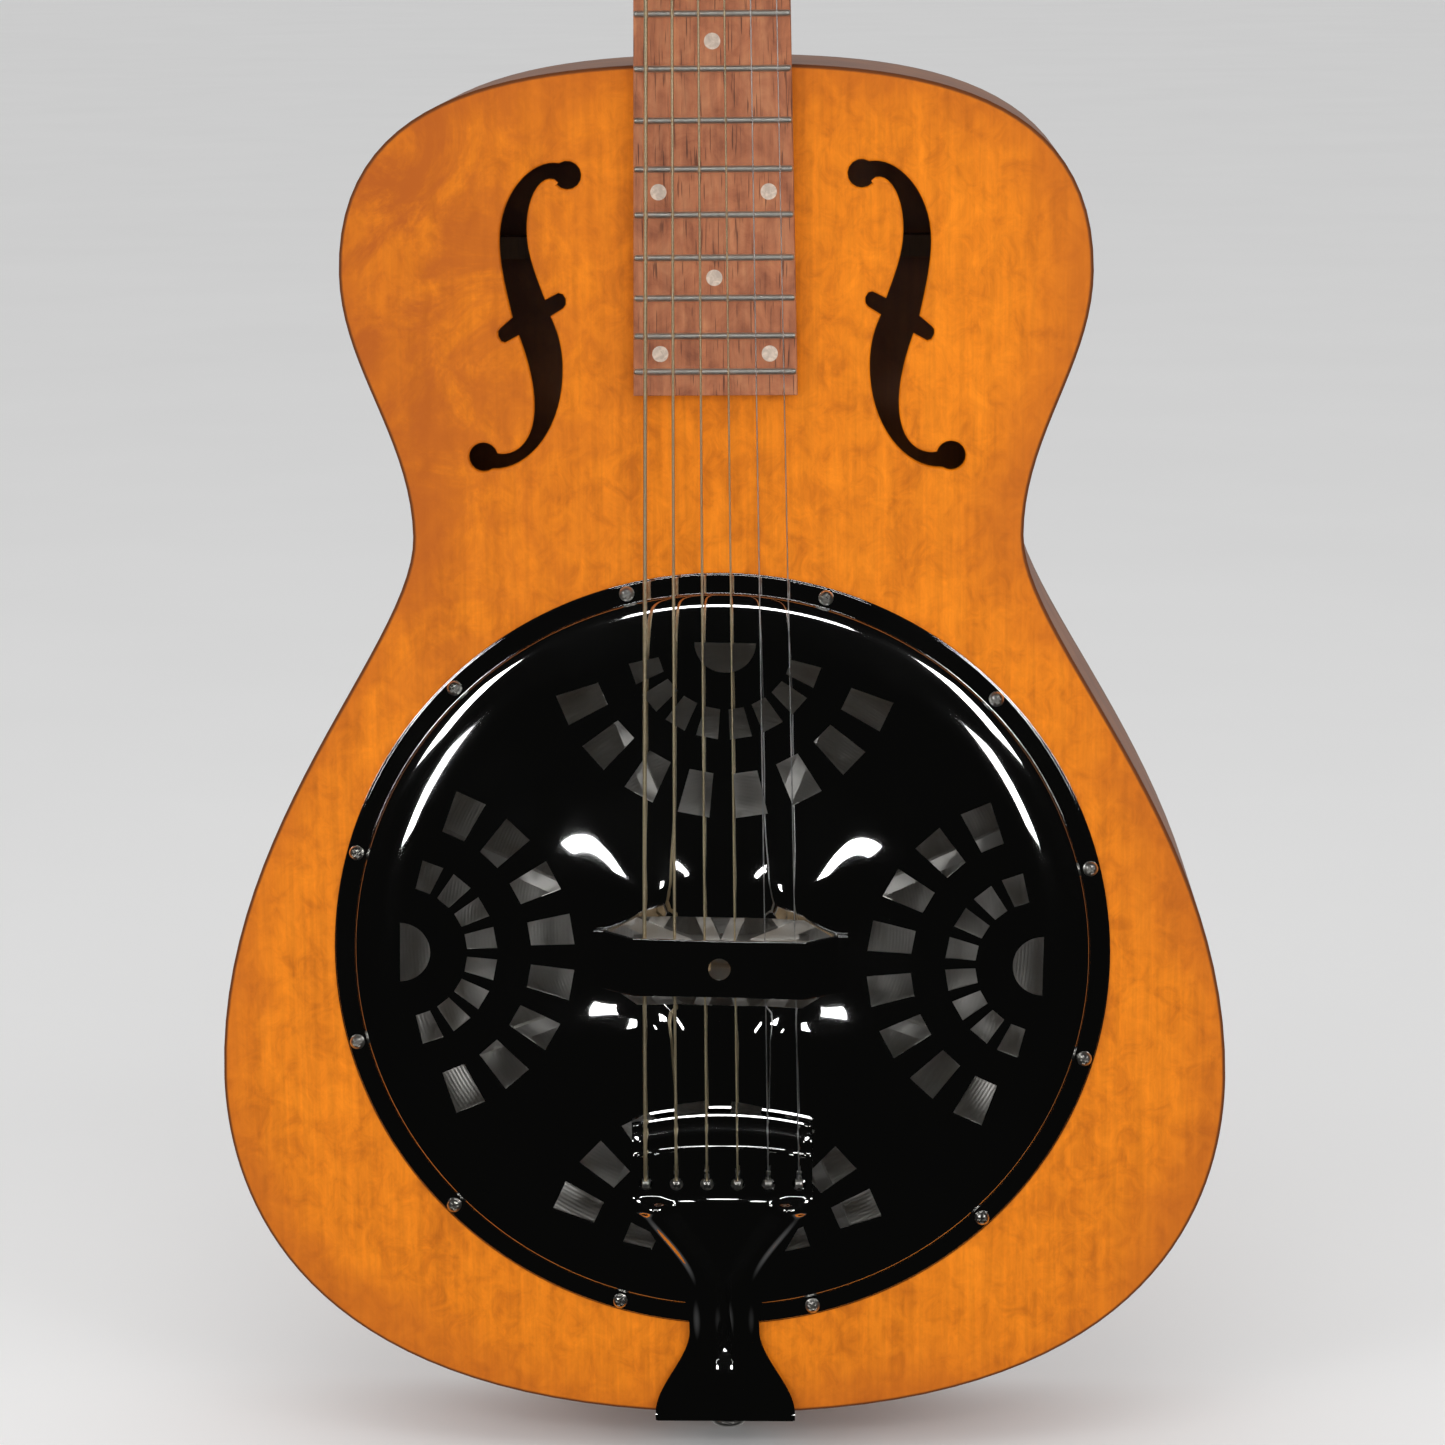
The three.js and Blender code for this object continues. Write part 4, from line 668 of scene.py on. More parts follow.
# ---- Body ----
def outline_half():
    """The treble half of the body's outline, from the middle of the upper edge to the tail."""
    waist_span = UPPER_Z - WAIST_Z
    lower_span = WAIST_Z - LOWER_Z
    points = [(0.0, TOP_EDGE)]
    points += bezier(
        (0, TOP_EDGE),
        (0.47 * UPPER_HALF, TOP_EDGE),
        (UPPER_HALF, UPPER_Z + 0.93 * (TOP_EDGE - UPPER_Z)),
        (UPPER_HALF, UPPER_Z),
        26,
    )
    points += bezier(
        (UPPER_HALF, UPPER_Z),
        (UPPER_HALF, UPPER_Z - 0.35 * waist_span),
        (WAIST_HALF, WAIST_Z + 0.38 * waist_span),
        (WAIST_HALF, WAIST_Z),
        18,
    )
    points += bezier(
        (WAIST_HALF, WAIST_Z),
        (WAIST_HALF, WAIST_Z - 0.19 * lower_span),
        (LOWER_HALF, LOWER_Z + 0.47 * lower_span),
        (LOWER_HALF, LOWER_Z),
        26,
    )
    tail_span = LOWER_Z - TAIL
    points += bezier(
        (LOWER_HALF, LOWER_Z),
        (LOWER_HALF, LOWER_Z - 0.31 * tail_span),
        (0.9 * LOWER_HALF, TAIL),
        (0, TAIL),
        34,
    )
    return points


HALF = outline_half()
OUTLINE = HALF + [(-x, z) for x, z in HALF[-2:0:-1]]


def sound_hole(side):
    """One f-shaped hole: round eyes at both ends, and two nicks at the middle of its stem."""
    upper_eye, lower_eye = (51.8, 50.0), (83.3, -49.7)
    points = arc(upper_eye, 5.0, -16, -303)
    points += bezier(points[-1], (64, 56), (76.1, 44), (76.1, 26.4))
    points += bezier((76.1, 26.4), (76.1, 18), (74, 9), (72.0, 0.0), 8)
    points += [(76.2, -3.6), (77.2, -4.8), (77.2, -6.6), (76.2, -8.4), (74.8, -8.8)]
    points += [(69.9, -6.2)]
    points += bezier((69.9, -6.2), (65.6, -18), (63.0, -31), (66.1, -40))
    points += bezier((66.1, -40), (67.8, -45.4), (72.5, -49.6), (78.4, -48.4), 10)
    points += arc(lower_eye, 5.2, 163, -125, 16)
    points += bezier(points[-1], (67, -54.6), (54.2, -39), (54.5, -17))
    points += bezier((54.5, -17), (54.6, -10), (56, -5), (58.5, 0.4), 8)
    points += [(54.0, 3.2), (53.0, 4.6), (53.0, 6.6), (54.0, 8.2), (55.6, 8.6)]
    points += [(60.3, 6.2)]
    points += bezier((60.3, 6.2), (64, 16), (66.4, 23), (66.4, 30.5), 10)
    points += bezier((66.4, 30.5), (66.6, 41), (62.0, 50.2), (56.6, 48.6), 10)
    middle = TOP_EDGE - 88.5
    return [(side * x, middle + z) for x, z in points]


def store_edge_distance(piece):
    """Keeps on each point its distance to the body's outline, in millimetres."""
    mesh = piece.data
    count = len(mesh.vertices)
    places = np.zeros(count * 3)
    mesh.vertices.foreach_get("co", places)
    places = places.reshape(-1, 3)
    flat = np.stack([places[:, 0] / MM, (places[:, 2] - CENTRE_Z) / MM], axis=1)
    best = np.full(count, 1e9)
    for a, b in zip(OUTLINE, OUTLINE[1:] + OUTLINE[:1]):
        start, along = np.array(a), np.array(b) - np.array(a)
        share = np.clip(((flat - start) @ along) / (along @ along), 0, 1)
        gap = flat - start - share[:, None] * along
        best = np.minimum(best, np.hypot(gap[:, 0], gap[:, 1]))
    attribute = mesh.attributes.new("edge", "FLOAT", "POINT")
    attribute.data.foreach_set("value", best.astype(np.float32))


def make_top():
    round_hole = arc((0, 0), WELL_RADIUS, 0, 360, 120)[:-1]
    holes = [sound_hole(1), sound_hole(-1), round_hole]
    top = plate("maple_top", OUTLINE, holes, 0, -TOP_THICKNESS, EDGE_ROUNDING, at, cell=7)
    store_edge_distance(top)
    wear(top, MAPLE_TOP, stands_for=["top_plate"])


def make_back():
    back = plate("maple_back", OUTLINE, [], -BACK_FRONT, -BODY_DEPTH, 1.6, at, cell=9)
    store_edge_distance(back)
    wear(back, MAPLE_BACK, stands_for=["back_plate"])


def make_sides():
    """Two bent sides that meet at the neck and at the tail, flush with the top and the back."""
    inner = inset_loop(OUTLINE[::-1], SIDE_THICKNESS)[::-1]
    front, back = TOP_THICKNESS + 0.1, BACK_FRONT - 0.1
    levels = [front + (back - front) * i / 8 for i in range(9)]
    half = len(HALF)
    for name, side in (("treble", 1), ("bass", -1)):
        if side > 0:
            outside, inside = OUTLINE[:half], inner[:half]
        else:
            outside, inside = OUTLINE[half - 1:] + OUTLINE[:1], inner[half - 1:] + inner[:1]
        seam = 0.1 * side
        outside = [(seam if abs(x) < 0.01 else x, z) for x, z in outside]
        inside = [(seam if abs(x) < 0.01 else x, z) for x, z in inside]
        rings, places, run = [], [], 0.0
        for i, (outer, within) in enumerate(zip(outside, inside)):
            if i:
                run += math.dist(outer, outside[i - 1])
            ring = [at(outer[0], -level, outer[1]) for level in levels]
            ring += [at(within[0], -level, within[1]) for level in reversed(levels)]
            rings.append(ring)
            places += [(level * MM, 0, run * MM) for level in levels]
            places += [(level * MM, 0.05, run * MM) for level in reversed(levels)]
        piece = rings_piece(f"maple_side_{name}", rings)
        attribute = piece.data.attributes.new("grain", "FLOAT_VECTOR", "POINT")
        attribute.data.foreach_set("vector", [value for place in places for value in place])
        crisp(piece, 50)
        wear(piece, MAPLE_SIDE, stands_for=[f"side_{name}"])


# ---- Cover ----
def cover_height(x, z):
    """Height of the cover's front face: flange, rolled bead, and a dome dished into four lobes."""
    r = math.hypot(x, z)
    turn = math.atan2(x, z)
    flange = FLANGE_HEIGHT - 0.5 * smoothstep(COVER_RADIUS - 0.8, COVER_RADIUS, r)
    crowned = (1 - smoothstep(10, SHOULDER_RADIUS, r)) ** 0.8
    dome = SHOULDER_HEIGHT + (CROWN_HEIGHT - SHOULDER_HEIGHT) * crowned
    ridge = 3.6 * smoothstep(24, 36, r) * (1 - smoothstep(37, 80, r)) * math.sin(2 * turn) ** 4
    dish = 1.7 * smoothstep(40, 74, r) * (1 - smoothstep(86, 118, r)) * math.cos(2 * turn) ** 2
    roll = min(1.0, max(0.0, (r - SHOULDER_RADIUS) / (SHOULDER_FOOT - SHOULDER_RADIUS)))
    return flange + (dome + ridge - dish - flange) * math.sqrt(1 - roll * roll)


def cover_place(x, height, z):
    """The cover sits a little clockwise of square on the body."""
    c, s = math.cos(COVER_TURN), math.sin(COVER_TURN)
    return at(c * x + s * z, height, c * z - s * x)


def prism(loop, front, back, place):
    """Points and faces of an upright cutter from a closed loop."""
    count = len(loop)
    points = [place(x, front, z) for x, z in loop] + [place(x, back, z) for x, z in loop]
    faces = [(i, (i + 1) % count, count + (i + 1) % count, count + i) for i in range(count)]
    faces += [tuple(range(count)), tuple(2 * count - 1 - i for i in range(count))]
    return points, faces


def cutters(name, loops, front, back, place):
    points, faces = [], []
    for loop in loops:
        more, sides = prism(loop, front, back, place)
        faces += [tuple(len(points) + k for k in face) for face in sides]
        points += more
    return mesh_piece(name, points, faces)


def fan_windows():
    """Windows of one fan: two arcs of slots about its centre, and a half-moon."""
    loops = []
    for radius, half_height, half_angle, angles in FAN_ROWS:
        for angle in angles:
            for side in (-1, 1):
                corners = []
                for reach, aside in ((-1, -1), (-1, 1), (1, 1), (1, -1)):
                    turn = math.radians(side * angle + aside * half_angle)
                    far = radius + reach * half_height
                    corners.append((far * math.sin(turn), FAN_CENTRE - far * math.cos(turn)))
                loops.append(corners)
    loops.append(arc((0, FAN_CENTRE), HALF_MOON, 180, 360, 20))
    return loops


def quarter_turns(loops):
    """The same loops at the cover's four quarters."""
    made = []
    for quarter in range(4):
        c, s = round(math.cos(math.pi / 2 * quarter)), round(math.sin(math.pi / 2 * quarter))
        made += [[(c * x + s * z, c * z - s * x) for x, z in loop] for loop in loops]
    return made


def facing(height, x, z, step=0.05):
    """The direction that a relief's front face looks in at a point."""
    dx = (height(x + step, z) - height(x - step, z)) / (2 * step)
    dz = (height(x, z + step) - height(x, z - step)) / (2 * step)
    return Vector((-dx, -1, -dz)).normalized()


def relief_normals(piece, height, place_back, steep=0.25):
    """Gives the front face its exact slopes, so that reflections flow smoothly over it."""
    mesh = piece.data
    normals = []
    for polygon in mesh.polygons:
        front = polygon.normal.y < -steep
        for index in polygon.loop_indices:
            if not front:
                normals.append(tuple(polygon.normal))
                continue
            x, z, turn = place_back(mesh.vertices[mesh.loops[index].vertex_index].co)
            normals.append(tuple(turn @ facing(height, x, z)))
    mesh.normals_split_custom_set(normals)


def cover_place_back(point):
    c, s = math.cos(COVER_TURN), math.sin(COVER_TURN)
    x, z = point.x / MM, rise(point.z)
    return c * x - s * z, c * z + s * x, Matrix.Rotation(COVER_TURN, 3, "Y")


def make_cover():
    radii = [0.0] + [6 + 118 * i / 40 for i in range(41)]
    radii += [124 + 12 * i / 24 for i in range(1, 25)] + [138, 140, 140.7, 141.1, COVER_RADIUS]
    sides = 180
    points, faces = [], []
    for sheet in (0, COVER_SHEET):
        for r in radii:
            for i in range(sides):
                angle = 2 * math.pi * i / sides
                x, z = r * math.cos(angle), r * math.sin(angle)
                points.append(cover_place(x, cover_height(x, z) - sheet, z))
    rows = len(radii)
    shell = grid_faces(rows, sides, closed_columns=True)
    faces += shell + [tuple(rows * sides + k for k in face[::-1]) for face in shell]
    rim = (rows - 1) * sides
    for i in range(sides):
        k = (i + 1) % sides
        faces.append((rim + i, rim + k, rows * sides + rim + k, rows * sides + rim + i))
    cover = mesh_piece("chrome_cover", points, faces)
    w, h = MOUTH
    inner_w, inner_h = w - MOUTH_CORNER[0], h - MOUTH_CORNER[1]
    mouth = [(-w, inner_h), (-inner_w, h), (inner_w, h), (w, inner_h)]
    mouth += [(x, -z) for x, z in reversed(mouth)]
    holes = quarter_turns(fan_windows()) + [mouth]
    carve(cover, cutters("window_cutters", holes, 20, -6, cover_place))
    relief_normals(cover, cover_height, cover_place_back)
    wear(cover, CHROME, stands_for=["coverplate"])


def cross_slot(place, size):
    """Cutters for the two bars of a cross slot."""
    long, narrow = 0.62 * size, 0.22 * size
    loops = []
    for x, z in ((narrow, long), (long, narrow)):
        loops.append([(-x, -z), (x, -z), (x, z), (-x, z)])
    return [cutters("slot", [loop], 0.0, 3.0, place) for loop in loops]


def make_cover_screws():
    """Twelve domed screws with cross slots, each stopped at its own angle."""
    chance = random.Random(12)
    for i in range(SCREW_COUNT):
        angle = 2 * math.pi * (i + 0.5) / SCREW_COUNT
        x0, z0 = SCREW_CIRCLE * math.sin(angle), SCREW_CIRCLE * math.cos(angle)
        spin = chance.uniform(0, math.pi / 2)
        base = FLANGE_HEIGHT + 0.15

        def place(x, height, z):
            c, s = math.cos(spin), math.sin(spin)
            return cover_place(x0 + c * x + s * z, height, z0 + c * z - s * x)

        profile = [(0.001, base + 1.75), (0.8, base + 1.68), (1.6, base + 1.4), (2.3, base + 0.9)]
        profile += [(SCREW_HEAD, base + 0.35), (SCREW_HEAD, base), (1.4, base)]
        profile += [(1.4, base - 11), (0.001, base - 13)]
        screw = turned(f"cover_screw_{i + 1:02d}", profile, 28, place)
        for cutter in cross_slot(lambda x, height, z: place(x, base + 0.85 + height, z), SCREW_HEAD):
            carve(screw, cutter)
        crisp(screw, 40)
        wear(screw, NICKEL, stands_for=[f"coverplate_screw_{i + 1:02d}"])


def make_hand_rest():
    """A polished strap bent over the saddle, waisted a little, with a round hole in its middle."""
    foot, crest, sheet = CROWN_HEIGHT + 0.3 + 1.2, 20.0, 1.2
    half_length, flat_half, foot_half, end_half = 11.0, 31.0, 42.5, 46.0
    corners = [(-end_half, foot), (-foot_half, foot), (-flat_half, crest)]
    corners += [(-x, h) for x, h in reversed(corners)]
    path = [corners[0]]
    for before, corner, after in zip(corners, corners[1:], corners[2:]):
        near = Vector(corner) + (Vector(before) - Vector(corner)).normalized() * 2.6
        far = Vector(corner) + (Vector(after) - Vector(corner)).normalized() * 2.6
        path.append(tuple(near))
        path += bezier(near, corner, corner, far, 8)
    path.append(corners[-1])
    full = []
    for a, b in zip(path, path[1:]):
        steps = max(1, round(math.dist(a, b) / 2.5))
        full += [tuple(Vector(a).lerp(Vector(b), i / steps)) for i in range(steps)]
    full.append(path[-1])
    edge = [(-1, 0.0), (-0.985, -0.35), (-0.95, -0.55), (0.95, -0.55), (0.985, -0.35), (1, 0.0)]
    edge += [(0.985, 0.35), (0.95, 0.55), (-0.95, 0.55), (-0.985, 0.35)]
    rings = []
    for i, (x, h) in enumerate(full):
        along = (Vector(full[min(i + 1, len(full) - 1)]) - Vector(full[max(i - 1, 0)])).normalized()
        normal = Vector((-along.y, along.x))
        reach = half_length * (1 - 0.035 * math.cos(math.pi * x / (2 * end_half)) ** 2)
        ring = []
        for across, out in edge:
            spot = Vector((x, h - sheet / 2)) + normal * out * 1.08
            ring.append(cover_place(spot.x, spot.y, across * reach))
        rings.append(ring)
    rest = rings_piece("chrome_hand_rest", rings)
    hole = turned("rest_hole", [(0.001, 25), (4.0, 25), (4.0, 12), (0.001, 12)], 32, cover_place)
    carve(rest, hole)
    crisp(rest, 50)
    wear(rest, CHROME, stands_for=["hand_rest"])


# ---- Cone, spider and saddle ----
def make_cone():
    """A spun cone that rises again to a boss in its middle."""
    rim = -depth(CONE_LOW.y)
    valley = rim - 27
    boss = -depth(CONE_LOW.y) - 7
    knots = [(133, rim), (124, rim), (123, rim - 1.5), (105, rim - 13.5), (82, valley + 3), (74, valley + 0.6)]
    knots += [(62, valley + 0.6), (54, valley + 3), (12, boss - 0.8), (9, boss), (3, boss)]
    front = []
    for (r0, h0), (r1, h1) in zip(knots, knots[1:]):
        steps = max(1, round(math.hypot(r1 - r0, h1 - h0) / 3))
        front += [(r0 + (r1 - r0) * i / steps, h0 + (h1 - h0) * i / steps) for i in range(steps)]
    front.append(knots[-1])
    profile = front + [(r, h - 0.8) for r, h in reversed(front)] + [front[0]]
    rings = []
    for r, h in profile:
        angles = [2 * math.pi * i / 128 for i in range(128)]
        rings.append([at(r * math.cos(a), h, r * math.sin(a)) for a in angles])
    cone = rings_piece("spun_cone", rings, caps=False)
    crisp(cone, 50)
    wear(cone, ALUMINIUM, stands_for=["cone"])


# ---- Tailpiece ----
TAIL_TOP, TAIL_BAR_BOTTOM, TAIL_NECK_Z = -57.0, -92.0, -139.5
TAIL_END = rise(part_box("tailpiece")[0].z)
TAIL_BAR_HALF, TAIL_NECK_HALF, TAIL_FOOT_HALF = 33.0, 13.0, 26.0
TAIL_SHEET = 1.5


def tail_half_width(z):
    """Half the width of the tailpiece's plate at a height."""
    down = smoothstep(TAIL_BAR_BOTTOM + 3, TAIL_NECK_Z, z) ** 0.7 if z < TAIL_BAR_BOTTOM + 3 else 0.0
    half = TAIL_BAR_HALF + (TAIL_NECK_HALF - TAIL_BAR_HALF) * down
    flare = smoothstep(TAIL_NECK_Z - 4, TAIL_END + 3, z)
    return half + (TAIL_FOOT_HALF - TAIL_NECK_HALF) * flare


def tail_base(z):
    """Height of the plate's own face before its raised channels."""
    drop = smoothstep(-126, -149, z)
    return 10.2 - 1.4 * smoothstep(-92, -126, z) - 5.6 * drop


def tail_height(x, z):
    """The bar's rolled ridges, the two raised channels and the round boss where they meet."""
    height = tail_base(z)
    bow = z + 4 * (x / TAIL_BAR_HALF) ** 2
    for place, width, rise_by in ((-58.2, 1.0, 0.7), (-64.5, 3.0, 1.5), (-69.6, 0.9, 0.8), (-91.0, 1.6, 0.9)):
        height += rise_by * math.exp(-(((bow - place) / width) ** 2)) * (1 - smoothstep(30, 33, abs(x)) * 0.5)
    if z < -86:
        down = smoothstep(-88, -126, z) ** 0.8
        middle = 26.5 + (6.2 - 26.5) * down
        width = 6.8 - 1.6 * down
        fade = smoothstep(-88, -93, z) * (1 - smoothstep(-159, -168, z))
        for side in (-1, 1):
            across = (x - side * middle) / width
            if abs(across) < 1.25:
                height += 3.6 * fade * math.cos(across / 1.25 * math.pi / 2) ** 1.5
        boss = math.hypot(x, (z + 160) * 1.0) / 10.5
        if boss < 1:
            height = max(height, tail_base(z) + 3.2 * math.cos(boss * math.pi / 2) ** 0.9)
    return height


def make_tailpiece():
    rows, columns = 150, 56
    start, end = TAIL_TOP, TAIL_END
    points, faces = [], []
    for sheet in (0, TAIL_SHEET):
        for i in range(rows):
            share = i / (rows - 1)
            for j in range(columns):
                u = 2 * j / (columns - 1) - 1
                z = start + (end - start) * share
                half = tail_half_width(z)
                x = u * half
                z -= 4 * (x / TAIL_BAR_HALF) ** 2 * (1 - smoothstep(0, 0.28, share))
                roll = 0.7 * smoothstep(half - 1.0, half, abs(x))
                points.append(at(x, tail_height(x, z) - sheet - (roll if sheet == 0 else 0), z))
    shell = grid_faces(rows, columns)
    offset = rows * columns
    faces += shell + [tuple(offset + k for k in face[::-1]) for face in shell]
    border = [j for j in range(columns)] + [i * columns + columns - 1 for i in range(1, rows)]
    border += [(rows - 1) * columns + j for j in range(columns - 2, -1, -1)]
    border += [i * columns for i in range(rows - 2, 0, -1)]
    for a, b in zip(border, border[1:] + border[:1]):
        faces.append((a, b, offset + b, offset + a))
    tail = mesh_piece("chrome_tailpiece", points, faces)
    slots = []
    for i in range(len(STRING_GAUGES)):
        x = (i / 5 - 0.5) * TAIL_SPREAD
        keyhole = [(x - 0.9, -BALL_DROP + 7), (x - 0.9, -BALL_DROP + 2)]
        keyhole += arc((x, -BALL_DROP), 2.5, 130, 410, 18)
        keyhole += [(x + 0.9, -BALL_DROP + 2), (x + 0.9, -BALL_DROP + 7)]
        slots.append(keyhole)
    carve(tail, cutters("ball_slots", slots, 20, 4, at))
    relief_normals(tail, tail_height, lambda p: (p.x / MM, rise(p.z), Matrix.Identity(3)))
    wear(tail, CHROME, stands_for=["tailpiece"])
    make_tail_fold()


def make_tail_fold():
    """The plate's foot turns over the end of the body, down to the strap button."""
    z_out, face = TAIL_END, tail_base(TAIL_END)
    path = []
    for height, z in arc((face - 2.4, z_out + 2.4), 2.4, 0, -90, 8):
        path.append((height, z))
    low = -depth(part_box("tailpiece")[1].y)
    path += [(path[-1][0] + (low - path[-1][0]) * i / 12, path[-1][1]) for i in range(1, 13)]
    rings = []
    for i, (height, z) in enumerate(path):
        share = max(0.0, (i - 8) / 12)
        half = TAIL_FOOT_HALF - 9.0 * smoothstep(0.55, 1.0, share) ** 2
        after = Vector(path[min(i + 1, len(path) - 1)]) - Vector(path[max(i - 1, 0)])
        normal = Vector((after.y, -after.x)).normalized()
        inner = Vector((height, z)) - normal * TAIL_SHEET * (1 if normal.y < 0 or normal.x > 0 else -1)
        ring = [at(half * u, height, z) for u in (-1, -0.5, 0, 0.5, 1)]
        ring += [at(half * u, inner.x, inner.y) for u in (1, 0.5, 0, -0.5, -1)]
        rings.append(ring)
    fold = rings_piece("chrome_tail_fold", rings)
    crisp(fold, 40)
    wear(fold, CHROME)


def make_strap_button():
    pin_y = (BUTTON_LOW.y + BUTTON_HIGH.y) / 2
    end = rise(BUTTON_LOW.z)
    profile = [(0.001, end), (4.6, end), (6.2, end + 0.5), (7.0, end + 1.6), (6.8, end + 2.8), (5.2, end + 4.2)]
    profile += [(4.1, end + 6), (3.8, end + 8), (4.2, end + 10.5), (5.4, end + 13.4), (5.5, end + 14)]
    profile += [(3.0, end + 14), (3.0, end + 28), (0.001, end + 30)]

    def place(x, height, y):
        return Vector((x * MM, pin_y + y * MM, CENTRE_Z + height * MM))

    button = turned("strap_pin", profile, 40, place)
    crisp(button, 50)
    wear(button, NICKEL, stands_for=["strap_button"])


# ---- Neck and fretboard ----
BOARD_FRONT = 6.6
BOARD_BACK = 0.1
BOARD_END = rise(BOARD_LOW.z)
NUT_EDGE = rise(NUT_LOW.z) - 0.1
FRET_HEIGHT = 1.0
DOTS = {3: 1, 5: 2, 7: 1, 9: 2, 12: 1, 15: 2, 17: 1, 19: 2}


def half_width(z):
    return NUT_HALF + 0.0127 * (NUT_EDGE - z)


def fret_z(number):
    return NUT_EDGE - SCALE_LENGTH * (1 - 2 ** (-number / 12))


def make_board():
    low, high = half_width(BOARD_END), half_width(NUT_EDGE)
    corners = [(-low, BOARD_END), (low, BOARD_END), (high, NUT_EDGE), (-high, NUT_EDGE)]
    board = plate("rosewood_fretboard", corners, [], BOARD_FRONT, BOARD_BACK, 0.5, at)
    wear(board, ROSEWOOD, stands_for=["fretboard"])

    bars = []
    for number in range(1, 20):
        z0, half = fret_z(number), half_width(fret_z(number)) - 0.1
        stations = [(-1, 0.02), (-0.997, 0.5), (-0.985, 0.82), (-0.96, 1.0)]
        stations += [(-x, s) for x, s in reversed(stations)]
        rings = []
        for share, size in stations:
            ring = []
            for k in range(9):
                angle = math.pi * k / 8
                across, up = math.cos(angle) * 1.2, math.sin(angle) * FRET_HEIGHT
                ring.append(at(share * half, BOARD_FRONT + up * size, z0 + across * (0.4 + 0.6 * size)))
            ring.append(at(share * half, BOARD_FRONT - 0.4, z0))
            rings.append(ring)
        bars.append(rings_piece(f"fret_{number}", rings))
    frets = joined("frets", *bars)
    crisp(frets, 60)
    wear(frets, FRET_METAL)

    marks = []
    for number, count in DOTS.items():
        middle = (fret_z(number) + fret_z(number - 1)) / 2
        for x in ((0,) if count == 1 else (-19.3, 19.3)):
            profile = [(0.001, BOARD_FRONT + 0.04), (2.8, BOARD_FRONT + 0.04)]
            profile += [(3.0, BOARD_FRONT - 0.1), (3.0, 5.0)]
            marks.append(
                turned("dot", profile, 28, lambda a, h, b, x=x, z=middle: at(x + a, h, z + b))
            )
    dots = joined("position_dots", *marks)
    crisp(dots, 40)
    wear(dots, PEARL)


def head_loop():
    """The headstock's outline in its own plane."""
    neck = NUT_HALF - 0.3
    points = [(neck, -8.0), (neck, 2.0)]
    points += bezier((neck, 2), (neck, 12), (HEAD_HALF, 10), (HEAD_HALF, 26), 14)
    for i in range(1, 6):
        points.append((HEAD_HALF + (CROWN_HALF - HEAD_HALF) * i / 6, 26 + (HEAD_LENGTH - 35) * i / 6))
    points += arc((CROWN_HALF - 2.2, HEAD_LENGTH - 9.6), 2.4, 0, 75, 5)
    points += bezier(points[-1], (20, HEAD_LENGTH - 4), (12, HEAD_LENGTH), (0, HEAD_LENGTH), 12)
    return points + [(-x, z) for x, z in reversed(points[:-1])]


def head_place(x, height, z):
    """A point in the headstock's own plane, from millimetres in front of its face."""
    return HEAD @ Vector((x * MM, -height * MM, z * MM))


def make_neck():
    """Shaft, heel and headstock of one piece of mahogany."""
    heel_end = TOP_EDGE + 0.1
    heel_start = heel_end + 42.0
    head_start = rise(-6.7 * MM)
    heel_depth = BODY_DEPTH - 13.0
    levels = [head_start + 0.5, NUT_EDGE - 4]
    levels += [NUT_EDGE - 4 + (heel_start - NUT_EDGE + 4) * i / 30 for i in range(1, 31)]
    levels += [heel_start - 42.0 * i / 24 for i in range(1, 25)]
    rings = []
    for z in levels:
        down = max(0.0, (heel_start - z) / 42.0)
        deep = 15.5 + 0.006 * (NUT_EDGE - z) + (heel_depth - 17.5) * down**1.5
        ring = []
        for k in range(41):
            angle = math.pi * (k / 40 - 0.5)
            back = math.cos(angle)
            x = half_width(z) * math.sin(angle) * (1 - 0.25 * down * back)
            ring.append(at(x, -deep * max(0.0, back) ** 0.9, z))
        rings.append(ring)
    shaft = rings_piece("mahogany_neck", rings)
    head = plate("head_block", head_loop(), [], 0, -HEAD_THICKNESS, 1.5, head_place)
    head.modifiers.clear()
    carve(shaft, head, "UNION")
    seat = [(-60, head_start - 30), (60, head_start - 30), (60, head_start + 1), (-60, head_start + 1)]
    clear = prism(seat, 12, 0, at)
    carve(shaft, mesh_piece("nut_seat", *clear))
    crisp(shaft, 40)
    wear(shaft, MAHOGANY, stands_for=["neck"])

    loop = [(x, z) for x, z in head_loop() if z > 1.6]
    loop = inset_loop(loop, 0.2)
    holes = [arc((x, z), 4.0, 0, 360, 24)[:-1] for x, z, _ in POSTS]
    veneer = plate("head_veneer", loop, holes, 0.7, 0.02, 0.25, head_place)
    wear(veneer, VENEER)


# ---- Tuners ----
def local_place(centre):
    return lambda x, height, z: head_place(centre[0] + x, height, centre[1] + z)


